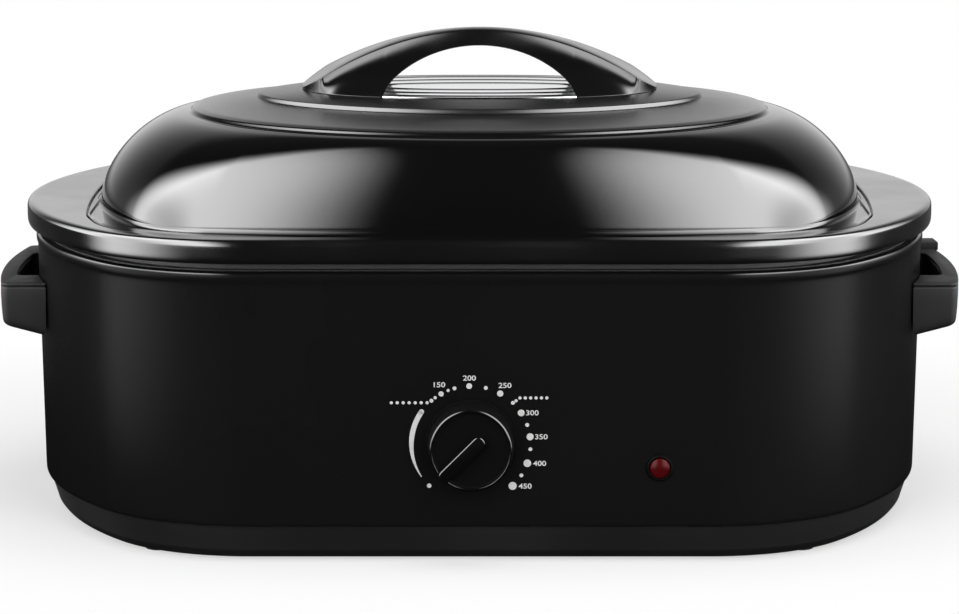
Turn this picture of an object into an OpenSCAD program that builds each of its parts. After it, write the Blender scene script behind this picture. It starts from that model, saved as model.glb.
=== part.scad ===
// Electric roaster oven: a painted steel body with a heated well, a lift-out roasting
// pan with a wire rack, and a lift-off domed lid with an arched handle.
// Origin: on the table, under the middle of the body. +Z up, the control knob faces -Y.

/* [Body] */
// Width of the body wall at its foot
body_w = 552; // [500:1:600]
// Depth of the body wall at its foot
body_d = 408; // [380:1:440]
// Radius of the bowed ends of the body
end_r = 273; // [260:1:300]
// Radius of the corners of the body
corner_r = 109; // [95:1:120]
// Height of the painted wall, from its foot to the top of its bead
wall_h = 152; // [140:1:170]
// How far the wall leans out over its height
wall_flare = 3.3; // [0:0.1:5]
// Thickness of the painted wall
wall_t = 1.2; // [0.8:0.1:1.6]

/* [Base] */
// Height of the base ring under the wall
base_h = 19; // [16:1:24]
// How far the base ring draws in towards the table
base_draw = 9.7; // [6:0.1:12]
// Thickness of the base ring
base_t = 3; // [2:0.1:4]
// Height of the rubber feet under the base ring
foot_h = 3; // [2:0.5:6]
// Radius of a rubber foot
foot_r = 9; // [7:0.5:11]
// Thickness of the steel bottom plate
plate_t = 1.2; // [0.8:0.1:2]

/* [Lid and pan outline] */
// Width of the lid's dome at its foot
dome_w = 475; // [465:1:482]
// Depth of the lid's dome at its foot
dome_d = 370; // [360:1:376]
// Radius of the bowed ends of the pan and of the lid's flange
dome_end_r = 480; // [400:5:560]
// Radius of the corners of the pan and of the lid's flange
dome_corner_r = 75; // [60:1:84]
// Radius of the bowed ends of the dome itself
bulge_end_r = 312; // [280:2:360]
// Radius of the bowed front and back of the dome itself
bulge_front_r = 803; // [700:1:1200]
// Radius of the corners of the dome itself
bulge_corner_r = 66; // [50:1:80]

/* [Roasting pan] */
// Thickness of the pan and of its rim
pan_t = 1.5; // [1:0.1:2]
// Depth of the pan, from its rim to its floor
pan_depth = 142; // [120:1:145]
// Height of the rim's outer face
rim_h = 15; // [12:0.5:17]
// Gap between the rim and the bead of the wall
rim_gap = 5; // [4:0.5:8]
// How far the rim stands out past the foot of the wall
rim_out = 9; // [6:0.5:12]
// How deep the lid's seat lies in the rim
seat_deep = 3; // [2:0.1:4]
// Width of the lid's flange outside the dome
flange_w = 11.5; // [8:0.5:12]
// How much the pan's wall draws in towards its floor
pan_draft = 11; // [6:0.5:16]

/* [Lid] */
// Height of the dome's shoulder above its flange
shoulder_h = 55; // [46:1:60]
// Height of each of the two steps pressed in the dome
step_h = 2.6; // [1.5:0.1:4]
// Thickness of the lid
lid_t = 1.2; // [0.8:0.1:2]
// Half width and half depth of the lower step
lower_step = [183, 157];
// Half width and half depth of the upper step
upper_step = [141, 103];

/* [Lid handle] */
// Length of the lid handle
grip_l = 224; // [200:1:240]
// Depth of the lid handle over its feet
grip_d = 138; // [120:1:150]
// Rise of the arch above the dome
grip_rise = 38; // [34:0.5:44]
// Height of the finger gap under the arch
grip_gap = 27.5; // [24:0.5:30]
// Width of the finger gap at its foot
grip_gap_w = 129; // [110:1:140]
// Depth of the arch at its crown
grip_top_d = 20; // [16:1:26]

/* [Side handles] */
// Length of a side handle along the body
side_l = 160; // [140:1:180]
// How far a side handle stands out from the wall's foot
side_out = 25; // [22:0.5:32]
// Height of the top of the side handles above the wall's foot
side_top = 126; // [100:1:132]
// Height of a side handle at its outer face
side_h = 25.5; // [22:0.5:32]
// Thickness of the bar of a side handle
side_bar = 10; // [8:0.5:14]
// Length of the finger slot in a side handle
side_slot_l = 95; // [85:1:110]

/* [Controls] */
// Distance of the knob to the left of the middle
knob_x = -5; // [-20:1:20]
// Height of the knob's axis above the table
knob_z = 72; // [68:1:80]
// Radius of the knob at its skirt
knob_r = 27; // [22:0.5:30]
// How far the knob stands out from the wall
knob_reach = 22; // [16:0.5:26]
// Radius of the control shaft
shaft_r = 3; // [2.5:0.1:4]
// Distance of the pilot lamp to the right of the middle
lamp_x = 106; // [70:1:130]
// Height of the pilot lamp above the table
lamp_z = 58; // [50:1:75]
// Radius of the lamp's lens
lens_r = 6; // [4:0.1:8]
// Radius of the hole for the cord in its gland
cord_r = 3.7; // [3:0.1:4.5]

/* [Hidden] */

half_w = body_w / 2;
half_d = body_d / 2;
dome_hw = dome_w / 2;
dome_hd = dome_d / 2;
fit_gap = 0.3;       // clearance between pieces that don't move on each other
run_gap = 0.05;      // radial clearance of a running fit
fuse = 0.6;          // overlap of shapes that are one piece

// Heights, from the table up
ring_z = foot_h;
flange_z = ring_z + base_t;
wall_z = ring_z + base_h;
bead_z = wall_z + wall_h;
rim_low_z = bead_z + rim_gap;
rim_z = rim_low_z + rim_h;
seat_z = rim_z - seat_deep;
collar_z = seat_z - pan_t;
pan_floor_z = rim_z - pan_depth;
liner_gap = 8;
liner_t = 1;
liner_z = pan_floor_z - pan_t - liner_gap;
shoulder_z = seat_z + lid_t + shoulder_h;
mid_rise = 5.4;
upper_z = shoulder_z + step_h + mid_rise;
top_rise = 3;
crown_z = upper_z + step_h + top_rise;
shield_t = 1;
grip_z = crown_z + shield_t;
grip_top_z = crown_z + grip_rise;

// Steps round a quarter of an outline
end_steps = 7;
corner_steps = 7;
front_steps = 3;

/* ---- Outlines: rounded rectangles with bowed ends, drawn as true arcs ---- */

// Half length of the straight front and back of an outline
function straight_half(hw, hd, er, cr) =
    hw - er + sqrt(pow(er - cr, 2) - pow(hd - cr, 2));

// Angle at which the end arc of an outline meets the corner arc
function meet_angle(hw, hd, er, cr) =
    atan2(hd - cr, straight_half(hw, hd, er, cr) - (hw - er));

function quarter(hw, hd, er, cr) =
    let (s = straight_half(hw, hd, er, cr), m = meet_angle(hw, hd, er, cr))
    concat(
        [for (i = [0:end_steps]) let (a = m * i / end_steps)
            [hw - er + er * cos(a), er * sin(a)]],
        [for (i = [1:corner_steps]) let (a = m + (90 - m) * i / corner_steps)
            [s + cr * cos(a), hd - cr + cr * sin(a)]],
        [for (i = [front_steps - 1:-1:0]) [s * i / front_steps, hd]]
    );

// The same where the front and the back bow too, with radius fr
function bowed_quarter(hw, hd, er, cr, fr) =
    let (
        a = [hw - er, 0],
        b = [0, hd - fr],
        u = (b - a) / norm(b - a),
        along = (pow(er - cr, 2) - pow(fr - cr, 2) + pow(norm(b - a), 2)) / (2 * norm(b - a)),
        c = a + along * u + sqrt(pow(er - cr, 2) - along * along) * [-u[1], u[0]],
        m = atan2(c[1], c[0] - a[0]),
        f = atan2(c[1] - b[1], c[0])
    )
    concat(
        [for (i = [0:end_steps]) let (w = m * i / end_steps) a + er * [cos(w), sin(w)]],
        [for (i = [1:corner_steps]) let (w = m + (f - m) * i / corner_steps) c + cr * [cos(w), sin(w)]],
        [for (i = [1:front_steps]) let (w = f + (90 - f) * i / front_steps) b + fr * [cos(w), sin(w)]]
    );

// A quarter repeated round all four quadrants, counterclockwise from +X
function all_round(q) =
    let (n = len(q))
    concat(
        q,
        [for (i = [n - 2:-1:0]) [-q[i][0], q[i][1]]],
        [for (i = [1:n - 1]) [-q[i][0], -q[i][1]]],
        [for (i = [n - 2:-1:1]) [q[i][0], -q[i][1]]]
    );

function raised(points, z) = [for (p = points) [p[0], p[1], z]];

// Ring of the body's outline, moved out by o
function body_ring(o, z) =
    raised(all_round(quarter(half_w + o, half_d + o, end_r + o, corner_r + o)), z);

// Ring of the outline of the pan's wall and of the lid's flange, moved out by o
function dome_ring(o, z) =
    raised(all_round(quarter(dome_hw + o, dome_hd + o, dome_end_r + o, dome_corner_r + o)), z);

// Ring of the dome itself, which bows more, moved out by o
function bulge_ring(o, z) =
    raised(
        all_round(bowed_quarter(
            dome_hw + o, dome_hd + o, bulge_end_r + o, bulge_corner_r + o, bulge_front_r + o
        )), z
    );

// The flange's ring with its ends cut off; bow is how much the cut bulges out at its middle
function cut_ring(o, z, x_max, bow) =
    [for (p = dome_ring(o, z))
        let (limit = x_max + bow * (1 - pow(p[1] / cut_half, 2)))
        [sign(p[0]) * min(abs(p[0]), limit), p[1], z]];

cut_x = dome_hw + 2;           // where the ends of the lid's flange are cut straight
seat_x = cut_x + 1.2;          // the ends of its seat in the pan
seat_bow = 3;                  // the seat's ends bow out and leave a crescent slot
cut_half = 84;

// Radius of an oval with half sizes h and exponent n, along the direction of p
function oval_reach(h, n, p) =
    let (d = norm([p[0], p[1]]))
    d / pow(pow(abs(p[0]) / h[0], n) + pow(abs(p[1]) / h[1], n), 1 / n) / d;

function oval_ring(h, n, z) =
    [for (p = bulge_ring(0, 0)) let (k = oval_reach(h, n, p)) [p[0] * k, p[1] * k, z]];

function blended(a, b, t, z) =
    [for (i = [0:len(a) - 1])
        [a[i][0] * (1 - t) + b[i][0] * t, a[i][1] * (1 - t) + b[i][1] * t, z]];

/* ---- Skins through rings of points ---- */

function side_faces(n, m, loop) =
    [for (j = [0:m - (loop ? 1 : 2)]) for (i = [0:n - 1])
        let (k = (i + 1) % n, up = ((j + 1) % m) * n)
        each [[j * n + i, up + i, up + k], [j * n + i, up + k, j * n + k]]];

// A closed band, such as a wall: its rings go up outside and down inside
module band(rings) {
    n = len(rings[0]);
    polyhedron([for (r = rings) each r], side_faces(n, len(rings), true));
}

// A vessel: its first ring is capped below and its last ring above
module vessel(rings) {
    n = len(rings[0]);
    m = len(rings);
    polyhedron(
        [for (r = rings) each r],
        concat(
            side_faces(n, m, false),
            [[for (i = [0:n - 1]) i], [for (i = [n - 1:-1:0]) (m - 1) * n + i]]
        )
    );
}

// Flat outline of the body, moved out by o, in true arcs
module body_shape(o) {
    hw = half_w + o;
    hd = half_d + o;
    er = end_r + o;
    cr = corner_r + o;
    s = straight_half(hw, hd, er, cr);
    m = meet_angle(hw, hd, er, cr);
    for (side = [0, 180]) rotate(side) {
        translate([hw - er, 0]) intersection() {
            circle(er, $fn = 180);
            polygon([[0, 0], 2 * er * [cos(m), sin(m)], 2 * er * [cos(m), -sin(m)]]);
        }
        for (k = [-1, 1]) translate([s, k * (hd - cr)]) circle(cr, $fn = 120);
    }
    square([2 * s, 2 * hd], center = true);
}

// Round tube along a path that lies on upright or level faces; up holds the face's normal
module tube_along(path, up, r, sides) {
    m = len(path);
    rings = [for (j = [0:m - 1])
        let (
            a = path[max(j - 1, 0)],
            b = path[min(j + 1, m - 1)],
            t = (b - a) / norm(b - a),
            side = cross(t, up[j])
        )
        [for (i = [0:sides - 1]) let (w = -360 * i / sides)
            path[j] + r * cos(w) * up[j] + r * sin(w) * side]];
    vessel(rings);
}

// Round bar along X, Y or Z
module along_x(r, l) { rotate([0, 90, 0]) cylinder(r = r, h = l, $fn = 48); }
module along_y(r, l) { rotate([-90, 0, 0]) cylinder(r = r, h = l, $fn = 48); }
module along_z(r, l) { cylinder(r = r, h = l, $fn = 48); }

/* ---- Base ---- */

foot_in = 22;          // how far inside the outline the feet stand
foot_turn = 50;        // where they stand on the corner arcs
stem_r = 3;
screw_r = 1.8;
head_r = 3.6;
head_h = 2.2;

module at_corners(inside, turn) {
    s = straight_half(half_w, half_d, end_r, corner_r);
    reach = corner_r - inside;
    for (i = [-1, 1]) for (j = [-1, 1])
        translate([
            i * (s + reach * cos(turn)),
            j * (half_d - corner_r + reach * sin(turn)),
            0
        ]) children();
}

plate_screw_x = 90;
module at_plate_screws() {
    for (i = [-1, 1]) for (j = [-1, 1])
        translate([i * plate_screw_x, j * (half_d - foot_in), 0]) children();
}

base_in = 34;                 // inner edge of the ring's floor
spigot_h = 6;                 // the ring's lip inside the wall
spigot_out = -wall_t - fit_gap - 0.8;

module base_ring() {
    color([0.13, 0.13, 0.135]) difference() {
        band([
            body_ring(-base_draw - 2.4, ring_z), body_ring(-base_draw + 0.4, ring_z + 0.9),
            body_ring(-base_draw + 2.6, ring_z + 3.4), body_ring(-3.2, wall_z - 2.5),
            body_ring(-2.4, wall_z - fit_gap), body_ring(spigot_out - 0.2, wall_z - fit_gap),
            body_ring(spigot_out - 0.4, wall_z + spigot_h),
            body_ring(spigot_out - base_t, wall_z + spigot_h),
            body_ring(-base_draw - base_t, flange_z + 3), body_ring(-base_draw - base_t - 2, flange_z),
            body_ring(-base_in, flange_z), body_ring(-base_in, ring_z)
        ]);
        at_corners(foot_in, foot_turn) translate([0, 0, ring_z - 1]) along_z(stem_r + fit_gap, base_t + 2);
        at_plate_screws() translate([0, 0, ring_z - 1]) along_z(screw_r + fit_gap, base_t + 2);
    }
}

plate_gap = 2.6;     // clearance of the plate inside the ring
module bottom_plate() {
    color([0.62, 0.63, 0.64]) difference() {
        translate([0, 0, flange_z]) linear_extrude(plate_t)
            body_shape(-base_draw - base_t - plate_gap);
        at_corners(foot_in, foot_turn)
            translate([0, 0, flange_z - 1]) along_z(stem_r + fit_gap, plate_t + 2);
        at_plate_screws() translate([0, 0, flange_z - 1]) along_z(screw_r + fit_gap, plate_t + 2);
        at_posts() translate([0, 0, flange_z - 1]) along_z(screw_r + fit_gap, plate_t + 2);
        for (x = [-vent_n:vent_n]) for (y = [-1, 1])
            translate([x * vent_pitch, y * vent_y, flange_z - 1]) linear_extrude(plate_t + 2) {
                square([vent_w, vent_l], center = true);
                for (e = [-1, 1]) translate([0, e * vent_l / 2]) circle(vent_w / 2, $fn = 32);
            }
    }
}
vent_n = 4;
vent_pitch = 14;
vent_y = 60;
vent_w = 5;
vent_l = 40;

module rubber_feet() {
    color([0.08, 0.08, 0.08]) at_corners(foot_in, foot_turn) {
        cylinder(r1 = foot_r - 1, r2 = foot_r, h = ring_z, $fn = 48);
        along_z(stem_r, flange_z + plate_t);
        translate([0, 0, flange_z + plate_t]) along_z(stem_r + 1, 2);
    }
}

module plate_screws() {
    color([0.7, 0.7, 0.72]) at_plate_screws() {
        translate([0, 0, ring_z - head_h]) along_z(head_r, head_h);
        translate([0, 0, ring_z - fuse]) along_z(screw_r, base_t + plate_t + 4);
    }
}

/* ---- Wall ---- */

foot_roll = 2;
function flare_at(z) = wall_flare * (z - wall_z) / wall_h;
function wall_face(z) = half_d + flare_at(z);

module outer_wall() {
    f = wall_flare;
    t = wall_t;
    color([0.1, 0.1, 0.105]) difference() {
        band([
            body_ring(-foot_roll, wall_z), body_ring(-0.6, wall_z + 0.7), body_ring(0, wall_z + foot_roll),
            body_ring(f - 0.1, bead_z - 6), body_ring(f + 0.3, bead_z - 4.2),
            body_ring(f + 0.1, bead_z - 2), body_ring(f - 1, bead_z - 0.6),
            body_ring(f - 2.8, bead_z), body_ring(f - 7, bead_z),
            body_ring(f - 7, bead_z - t), body_ring(f - 2.8, bead_z - t), body_ring(f - t, bead_z - 5),
            body_ring(-t, wall_z + foot_roll), body_ring(-foot_roll - 0.4, wall_z + t)
        ]);
        translate([knob_x, -half_d - 12, knob_z]) along_y(bush_r + fit_gap, 24);
        translate([lamp_x, -half_d - 12, lamp_z]) along_y(barrel_r + fit_gap, 24);
        translate([0, half_d - 12, gland_z]) along_y(gland_r + fit_gap, 24);
        at_handle_screws() translate([half_w - 12, 0, 0]) along_x(screw_r + fit_gap, 24);
    }
}

/* ---- Heated well ---- */

liner_out = 3;          // how far the well stands outside the dome's outline at its top
collar_in = 8;          // the collar's outer face inside the body's outline
liner_draft = pan_draft + 3;
function liner_off(z) = liner_out - liner_draft * (collar_z - z) / (collar_z - liner_z);

module inner_liner() {
    t = liner_t;
    o = liner_out;
    d = liner_out - liner_draft;
    z = liner_z;
    color([0.72, 0.73, 0.74]) difference() {
        vessel([
            dome_ring(d - 14, z - t), dome_ring(d - 4, z + 0.8), dome_ring(d, z + 8),
            dome_ring(o, collar_z - 8), dome_ring(o + 0.5, collar_z - t - 0.6),
            body_ring(-collar_in - t, collar_z - t), body_ring(-collar_in - t, bead_z),
            body_ring(wall_flare - 4.6, bead_z), body_ring(wall_flare - 4.6, bead_z + t),
            body_ring(-collar_in, bead_z + t), body_ring(-collar_in, collar_z - 0.8),
            body_ring(-collar_in - 0.8, collar_z), dome_ring(o + 0.3, collar_z),
            dome_ring(o - t, collar_z - 1.6), dome_ring(o - t, collar_z - 8), dome_ring(d - t, z + 9),
            dome_ring(d - 5, z + 2), dome_ring(d - 15, z)
        ]);
        at_posts() translate([0, 0, liner_z - 5]) along_z(screw_r + fit_gap, 8);
    }
}

post_x = 150;
post_y = 95;
post_r = 5;
module at_posts() {
    for (i = [-1, 1]) for (j = [-1, 1]) translate([i * post_x, j * post_y, 0]) children();
}

module liner_posts() {
    low = flange_z + plate_t;
    color([0.6, 0.6, 0.62]) at_posts() translate([0, 0, low]) difference() {
        along_z(post_r, liner_z - liner_t - low);
        translate([0, 0, -1]) along_z(screw_r + fit_gap, liner_z);
    }
}

module post_screws() {
    color([0.7, 0.7, 0.72]) at_posts() {
        translate([0, 0, flange_z - head_h]) along_z(head_r, head_h);
        translate([0, 0, flange_z - fuse]) along_z(screw_r, liner_z - flange_z + 2.4);
        translate([0, 0, liner_z]) along_z(head_r, head_h);
    }
}

wrap_t = 7;
wrap_low = liner_z + 82;
wrap_high = collar_z - 24;
module insulation_wrap() {
    g = 1.2;
    lo = liner_off(wrap_low);
    hi = liner_off(wrap_high);
    color([0.86, 0.84, 0.72]) band([
        dome_ring(lo + g + 1, wrap_low), dome_ring(lo + wrap_t, wrap_low + 1),
        dome_ring(hi + wrap_t, wrap_high - 1), dome_ring(hi + g + 1, wrap_high)
    ]);
}

/* ---- Heating element: one steel tube, twice round the well ---- */

tube_r = 3.2;
tube_off = tube_r + 0.8;   // the tube's axis outside the well
tube_low = liner_z + 16;
tube_high = liner_z + 66;
tube_turn_x = -60;      // where the tube turns back
tube_end_x = 66;        // where its two ends are
tube_bend = 16;

// The tube's run at height z, from the front right round the back to the front left
function tube_run(z) =
    let (
        o = liner_off(z) + tube_off,
        ring = dome_ring(o, z),
        n = len(ring),
        q = end_steps + corner_steps
    )
    [for (i = [0:4 * q + 2 * front_steps]) ring[(i - q + n) % n]];

function tube_path() =
    let (
        y = -(dome_hd + liner_off(tube_high) + tube_off),
        y_low = -(dome_hd + liner_off(tube_low) + tube_off),
        low = tube_run(tube_low),
        high = tube_run(tube_high)
    )
    concat(
        [[tube_end_x, y_low, tube_low]], low,
        [for (a = [0:22.5:90])
            [tube_turn_x + tube_bend - tube_bend * sin(a), y_low, tube_low + tube_bend * (1 - cos(a))]],
        [for (a = [0:22.5:90])
            [tube_turn_x + tube_bend * (1 - cos(a)), y, tube_high - tube_bend + tube_bend * sin(a)]],
        [for (i = [len(high) - 1:-1:0]) high[i]],
        [[tube_end_x, y, tube_high]]
    );

// Outward normal of the well at a point of the tube's path
function well_normal(p) =
    let (
        s = straight_half(dome_hw, dome_hd, dome_end_r, dome_corner_r),
        m = meet_angle(dome_hw, dome_hd, dome_end_r, dome_corner_r),
        end_c = dome_hw - dome_end_r,
        a = atan2(abs(p[1]), abs(p[0]) - end_c),
        n = abs(p[0]) <= s + 0.01 ? [0, 1]
            : a <= m ? [cos(a), sin(a)]
            : let (v = [abs(p[0]) - s, abs(p[1]) - dome_hd + dome_corner_r]) v / norm(v)
    )
    [sign(p[0]) * n[0], sign(p[1]) * n[1], 0];

module heating_element() {
    path = tube_path();
    color([0.35, 0.35, 0.34]) tube_along(path, [for (p = path) well_normal(p)], tube_r, 8);
}

module element_clips() {
    color([0.66, 0.67, 0.68])
    for (side = [-1, 1]) for (z = [tube_low, tube_high]) {
        x = dome_hw + liner_off(z) + tube_off - 0.2;
        translate([side * x, 0, z]) rotate([90, 0, 0])
            translate([0, 0, -clip_w / 2]) linear_extrude(clip_w) difference() {
                translate([-tube_r + 0.6, -tube_r - 5]) mirror([side > 0 ? 0 : 1, 0])
                    translate([side > 0 ? 0 : -2 * tube_r + 1.2, 0])
                        square([2 * tube_r + 0.9, 2 * tube_r + 10]);
                circle(tube_r + 0.3, $fn = 48);
                for (k = [-1, 1]) translate([side * 1.6, k * (tube_r + 4.4)])
                    square([2 * tube_r + 0.6, 6], center = true);
            }
    }
}
clip_w = 12;

term_l = 16;
module element_terminals() {
    color([0.93, 0.92, 0.88])
    for (z = [tube_low, tube_high]) {
        y = dome_hd + liner_off(z) + tube_off;
        translate([tube_end_x - 0.1, -y, z]) rotate([0, 0, 180]) {
            along_x(tube_r + 0.3, 8);
            along_x(1.4, term_l);
        }
    }
}

/* ---- Thermostat, knob and lamp ---- */

bush_r = 5;
bush_out = 5;                // how far the bush stands out of the wall
nut_w = 14;
well_front = dome_hd + liner_off(knob_z);      // the well's front face at the knob
stat_t = 15;
stat_w = 36;
stat_h = 32;
stat_y = -wall_face(knob_z) + wall_t + 1.6;    // front face of the thermostat
shaft_tip = -wall_face(knob_z) - knob_reach + 5;

module thermostat_body() {
    color([0.85, 0.83, 0.78]) difference() {
        union() {
            translate([knob_x - stat_w / 2, stat_y, knob_z - stat_h / 2]) cube([stat_w, stat_t, stat_h]);
            for (i = [-1, 1]) translate([knob_x + i * 12 - 3, stat_y + 4, knob_z + stat_h / 2 - fuse])
                cube([6, 0.8, 9]);
        }
        translate([knob_x, stat_y - 1, knob_z]) along_y(shaft_r + 0.6, stat_t - 3);
        for (i = [-1, 1]) translate([knob_x + i * 12, stat_y + 1, knob_z + stat_h / 2 + 5])
            along_y(1.2, 8);
    }
}

module thermostat_bush() {
    color([0.78, 0.68, 0.38]) translate([knob_x, 0, knob_z]) difference() {
        union() {
            translate([0, stat_y - 1.2, 0]) along_y(bush_r + 3, 1.2);
            translate([0, -wall_face(knob_z) - bush_out, 0]) along_y(bush_r, bush_out + wall_t + 1.6);
        }
        translate([0, -wall_face(knob_z) - 6, 0]) along_y(shaft_r + run_gap, 20);
    }
}

module thermostat_nut() {
    color([0.75, 0.75, 0.77]) translate([knob_x, -wall_face(knob_z) - 3.6, knob_z]) difference() {
        rotate([-90, 0, 0]) cylinder(d = nut_w / cos(30), h = 3, $fn = 6);
        translate([0, -1, 0]) along_y(bush_r + run_gap, 5);
    }
}

module thermostat_bracket() {
    y = stat_y + stat_t;
    color([0.7, 0.71, 0.72]) difference() {
        translate([knob_x - stat_w / 2 - 9, y, knob_z - 12]) cube([stat_w + 18, 1, 24]);
        for (i = [-1, 1]) translate([knob_x + i * (stat_w / 2 + 5), y - 1, knob_z]) along_y(screw_r, 4);
    }
}

module thermal_fuse() {
    z = knob_z - 6;
    y = dome_hd + liner_off(z) + 0.6;
    color([0.8, 0.78, 0.74]) translate([tube_turn_x + 30, -y, z]) {
        rotate([90, 0, 0]) cylinder(r = 7, h = 7, $fn = 48);
        for (i = [-1, 1]) translate([i * 5 - 2, -9, -3]) cube([4, 3, 0.8 + 5]);
    }
}

module control_shaft() {
    y = stat_y + stat_t - 6;
    color([0.74, 0.74, 0.76]) translate([knob_x, shaft_tip, knob_z]) difference() {
        along_y(shaft_r, y - shaft_tip);
        rotate([0, -flat_turn, 0]) translate([-shaft_r, -1, shaft_r - 1])
            cube([2 * shaft_r, flat_l + 1, 2]);
    }
}

// The grip bar points at the lowest mark, low on the left; the knob turns clockwise
min_turn = 135;
flat_turn = -45;
flat_l = 10;                 // how long the shaft's flat is
knob_back = -wall_face(knob_z + knob_r) - 1;
knob_front = -wall_face(knob_z) - knob_reach;
hub_r = 6;
hub_low = knob_back + wall_face(knob_z) + bush_out + 0.8;    // the hub stops short of the bush
pointer_r = 3.7;             // half width of the grip bar
pointer_tip = knob_r - 4.7;  // its round ends, from the knob's axis
pointer_tail = 6.2;

module control_knob() {
    depth = knob_back - knob_front - 2;
    color([0.12, 0.12, 0.125]) translate([knob_x, knob_back, knob_z]) rotate([90, 0, 0]) difference() {
        union() {
            rotate_extrude($fn = 96) polygon([
                [knob_r - 2, 0], [knob_r, 0], [knob_r, 2.5], [knob_r - 2.4, depth - 2],
                [knob_r - 3.4, depth - 0.5], [knob_r - 4.4, depth - 0.5], [knob_r - 5.4, depth - 2.6],
                [0, depth - 2.6], [0, depth - 5], [knob_r - 5, depth - 5]
            ]);
            translate([0, 0, hub_low]) cylinder(r = hub_r, h = depth - 4 - hub_low, $fn = 48);
            rotate(-min_turn) translate([0, 0, depth - 5]) linear_extrude(7) {
                translate([-pointer_tail, -pointer_r]) square([pointer_tip + pointer_tail, 2 * pointer_r]);
                for (x = [-pointer_tail, pointer_tip]) translate([x, 0]) circle(pointer_r, $fn = 48);
            }
        }
        difference() {
            translate([0, 0, -1])
                cylinder(r = shaft_r + run_gap, h = knob_back - shaft_tip + 1.2, $fn = 48);
            rotate(flat_turn)
                translate([-shaft_r - 1, shaft_r - 1 + run_gap, knob_back - shaft_tip - flat_l + 0.3])
                    cube([2 * shaft_r + 2, 4, 2 * flat_l]);
        }
    }
}

module knob_spring() {
    color([0.8, 0.8, 0.82]) translate([knob_x, knob_back - 4.5, knob_z]) rotate([90, 0, 0])
        difference() {
            cylinder(r = hub_r + 1, h = 4, $fn = 48);
            translate([0, 0, -1]) cylinder(r = hub_r + run_gap, h = 6, $fn = 48);
            translate([0, -1.5, -1]) cube([20, 3, 6]);
        }
}

barrel_r = 4.6;
bezel_r = 8;
module lamp_lens() {
    y = -wall_face(lamp_z);
    color([0.75, 0.05, 0.05]) translate([lamp_x, y, lamp_z]) rotate([90, 0, 0]) rotate_extrude($fn = 64)
        polygon(concat(
            [[0, -11], [barrel_r - 1, -11], [barrel_r - 1, 0.2], [lens_r, 1]],
            [for (a = [0:15:75]) [lens_r * cos(a), 1.8 + 2.6 * sin(a)]],
            [[0, 4.4]]
        ));
}

module lamp_bezel() {
    y = -wall_face(lamp_z);
    color([0.09, 0.09, 0.09]) translate([lamp_x, y, lamp_z]) rotate([90, 0, 0]) rotate_extrude($fn = 64)
        polygon([
            [barrel_r - 1 + run_gap, -8], [barrel_r, -8], [barrel_r, 0.2], [bezel_r, 0.2],
            [bezel_r - 0.4, 1.4], [lens_r + 1, 2.6], [lens_r + 0.2, 2.4], [lens_r + 0.2, 0.9],
            [barrel_r - 1 + run_gap, 0.15]
        ]);
}

neon_in = 11.05;               // the neon lamp's front inside the wall's face
neon_l = 6;
neon_tail_l = 2;
neon_back = neon_in + neon_l - fuse + neon_tail_l;

module neon_lamp() {
    color([0.95, 0.75, 0.6]) translate([lamp_x, neon_in - wall_face(lamp_z), lamp_z]) {
        along_y(2.6, neon_l);
        translate([0, neon_l - fuse, 0]) along_y(1.8, neon_tail_l);
    }
}

/* ---- Wiring ---- */

block_x = 20;
block_y = -140;
block_w = 40;
block_d = 18;
block_h = 14;
lead_r = 1.5;
lead_z = flange_z + plate_t + 9;

module terminal_block() {
    color([0.9, 0.89, 0.85]) translate([block_x - block_w / 2, block_y - block_d / 2, flange_z + plate_t])
        difference() {
            cube([block_w, block_d, block_h]);
            for (i = [0:2]) translate([8 + 12 * i, -1, 9]) along_y(lead_r + fit_gap, block_d + 2);
            for (i = [0:2]) for (j = [0, 1]) translate([8 + 12 * i, 5 + 8 * j, 9])
                along_z(1.6, 10);
        }
}

// Two insulated conductors from the gland, forward under the well to the block
module mains_leads() {
    for (i = [0, 1]) {
        x0 = -1.6 + 3.2 * i;
        x1 = block_x - 12 + 12 * i;
        path = [
            [x0, half_d - 20, lead_z], [x0, half_d - 60, lead_z], [x0, 90, lead_z], [x0, 60, lead_z],
            [x0 + (x1 - x0) * 0.2, 20, lead_z], [x0 + (x1 - x0) * 0.5, -20, lead_z],
            [x0 + (x1 - x0) * 0.8, -60, lead_z], [x1, -100, lead_z],
            [x1, block_y + block_d / 2 - 4, lead_z]
        ];
        color(i == 0 ? [0.9, 0.9, 0.88] : [0.12, 0.12, 0.12])
            tube_along(path, [for (p = path) [0, 0, 1]], lead_r, 8);
    }
}

// From the block to the element's two ends, on an upright plane in front of the well
module element_leads() {
    y = -(dome_hd + liner_off(tube_low) + tube_off);
    x0 = tube_end_x - term_l - 2;
    color([0.88, 0.86, 0.8]) {
        path = [
            [x0 - 0.4, y, tube_high], [x0 - 5, y, tube_high - 2], [x0 - 8, y, tube_high - 8],
            [x0 - 8, y, tube_high - 24], [x0 - 8, y, tube_low + 14], [x0 - 8, y, tube_low + 2],
            [x0 - 8, y, lead_z + 14], [x0 - 8, y, lead_z]
        ];
        translate([0, -4.2, 0]) tube_along(path, [for (p = path) [0, -1, 0]], lead_r, 8);
    }
}

lamp_lead_r = 1;

// From the block's side up to the back of the pilot lamp, in front of the heating tube
module lamp_leads() {
    y = -wall_face(lamp_z) + neon_back + lamp_lead_r + fit_gap / 2;
    for (i = [0, 1]) {
        x = lamp_x - 2 + 4 * i;
        z = lead_z + 8 - 4 * i;
        path = [
            [x - 26, y, z], [x - 14, y, z], [x - 5, y, z + 3],
            [x, y, z + 9], [x, y, lamp_z - 12], [x, y, lamp_z]
        ];
        color(i == 0 ? [0.9, 0.9, 0.88] : [0.12, 0.12, 0.12])
            tube_along(path, [for (p = path) [0, -1, 0]], lamp_lead_r, 8);
    }
}

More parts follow.
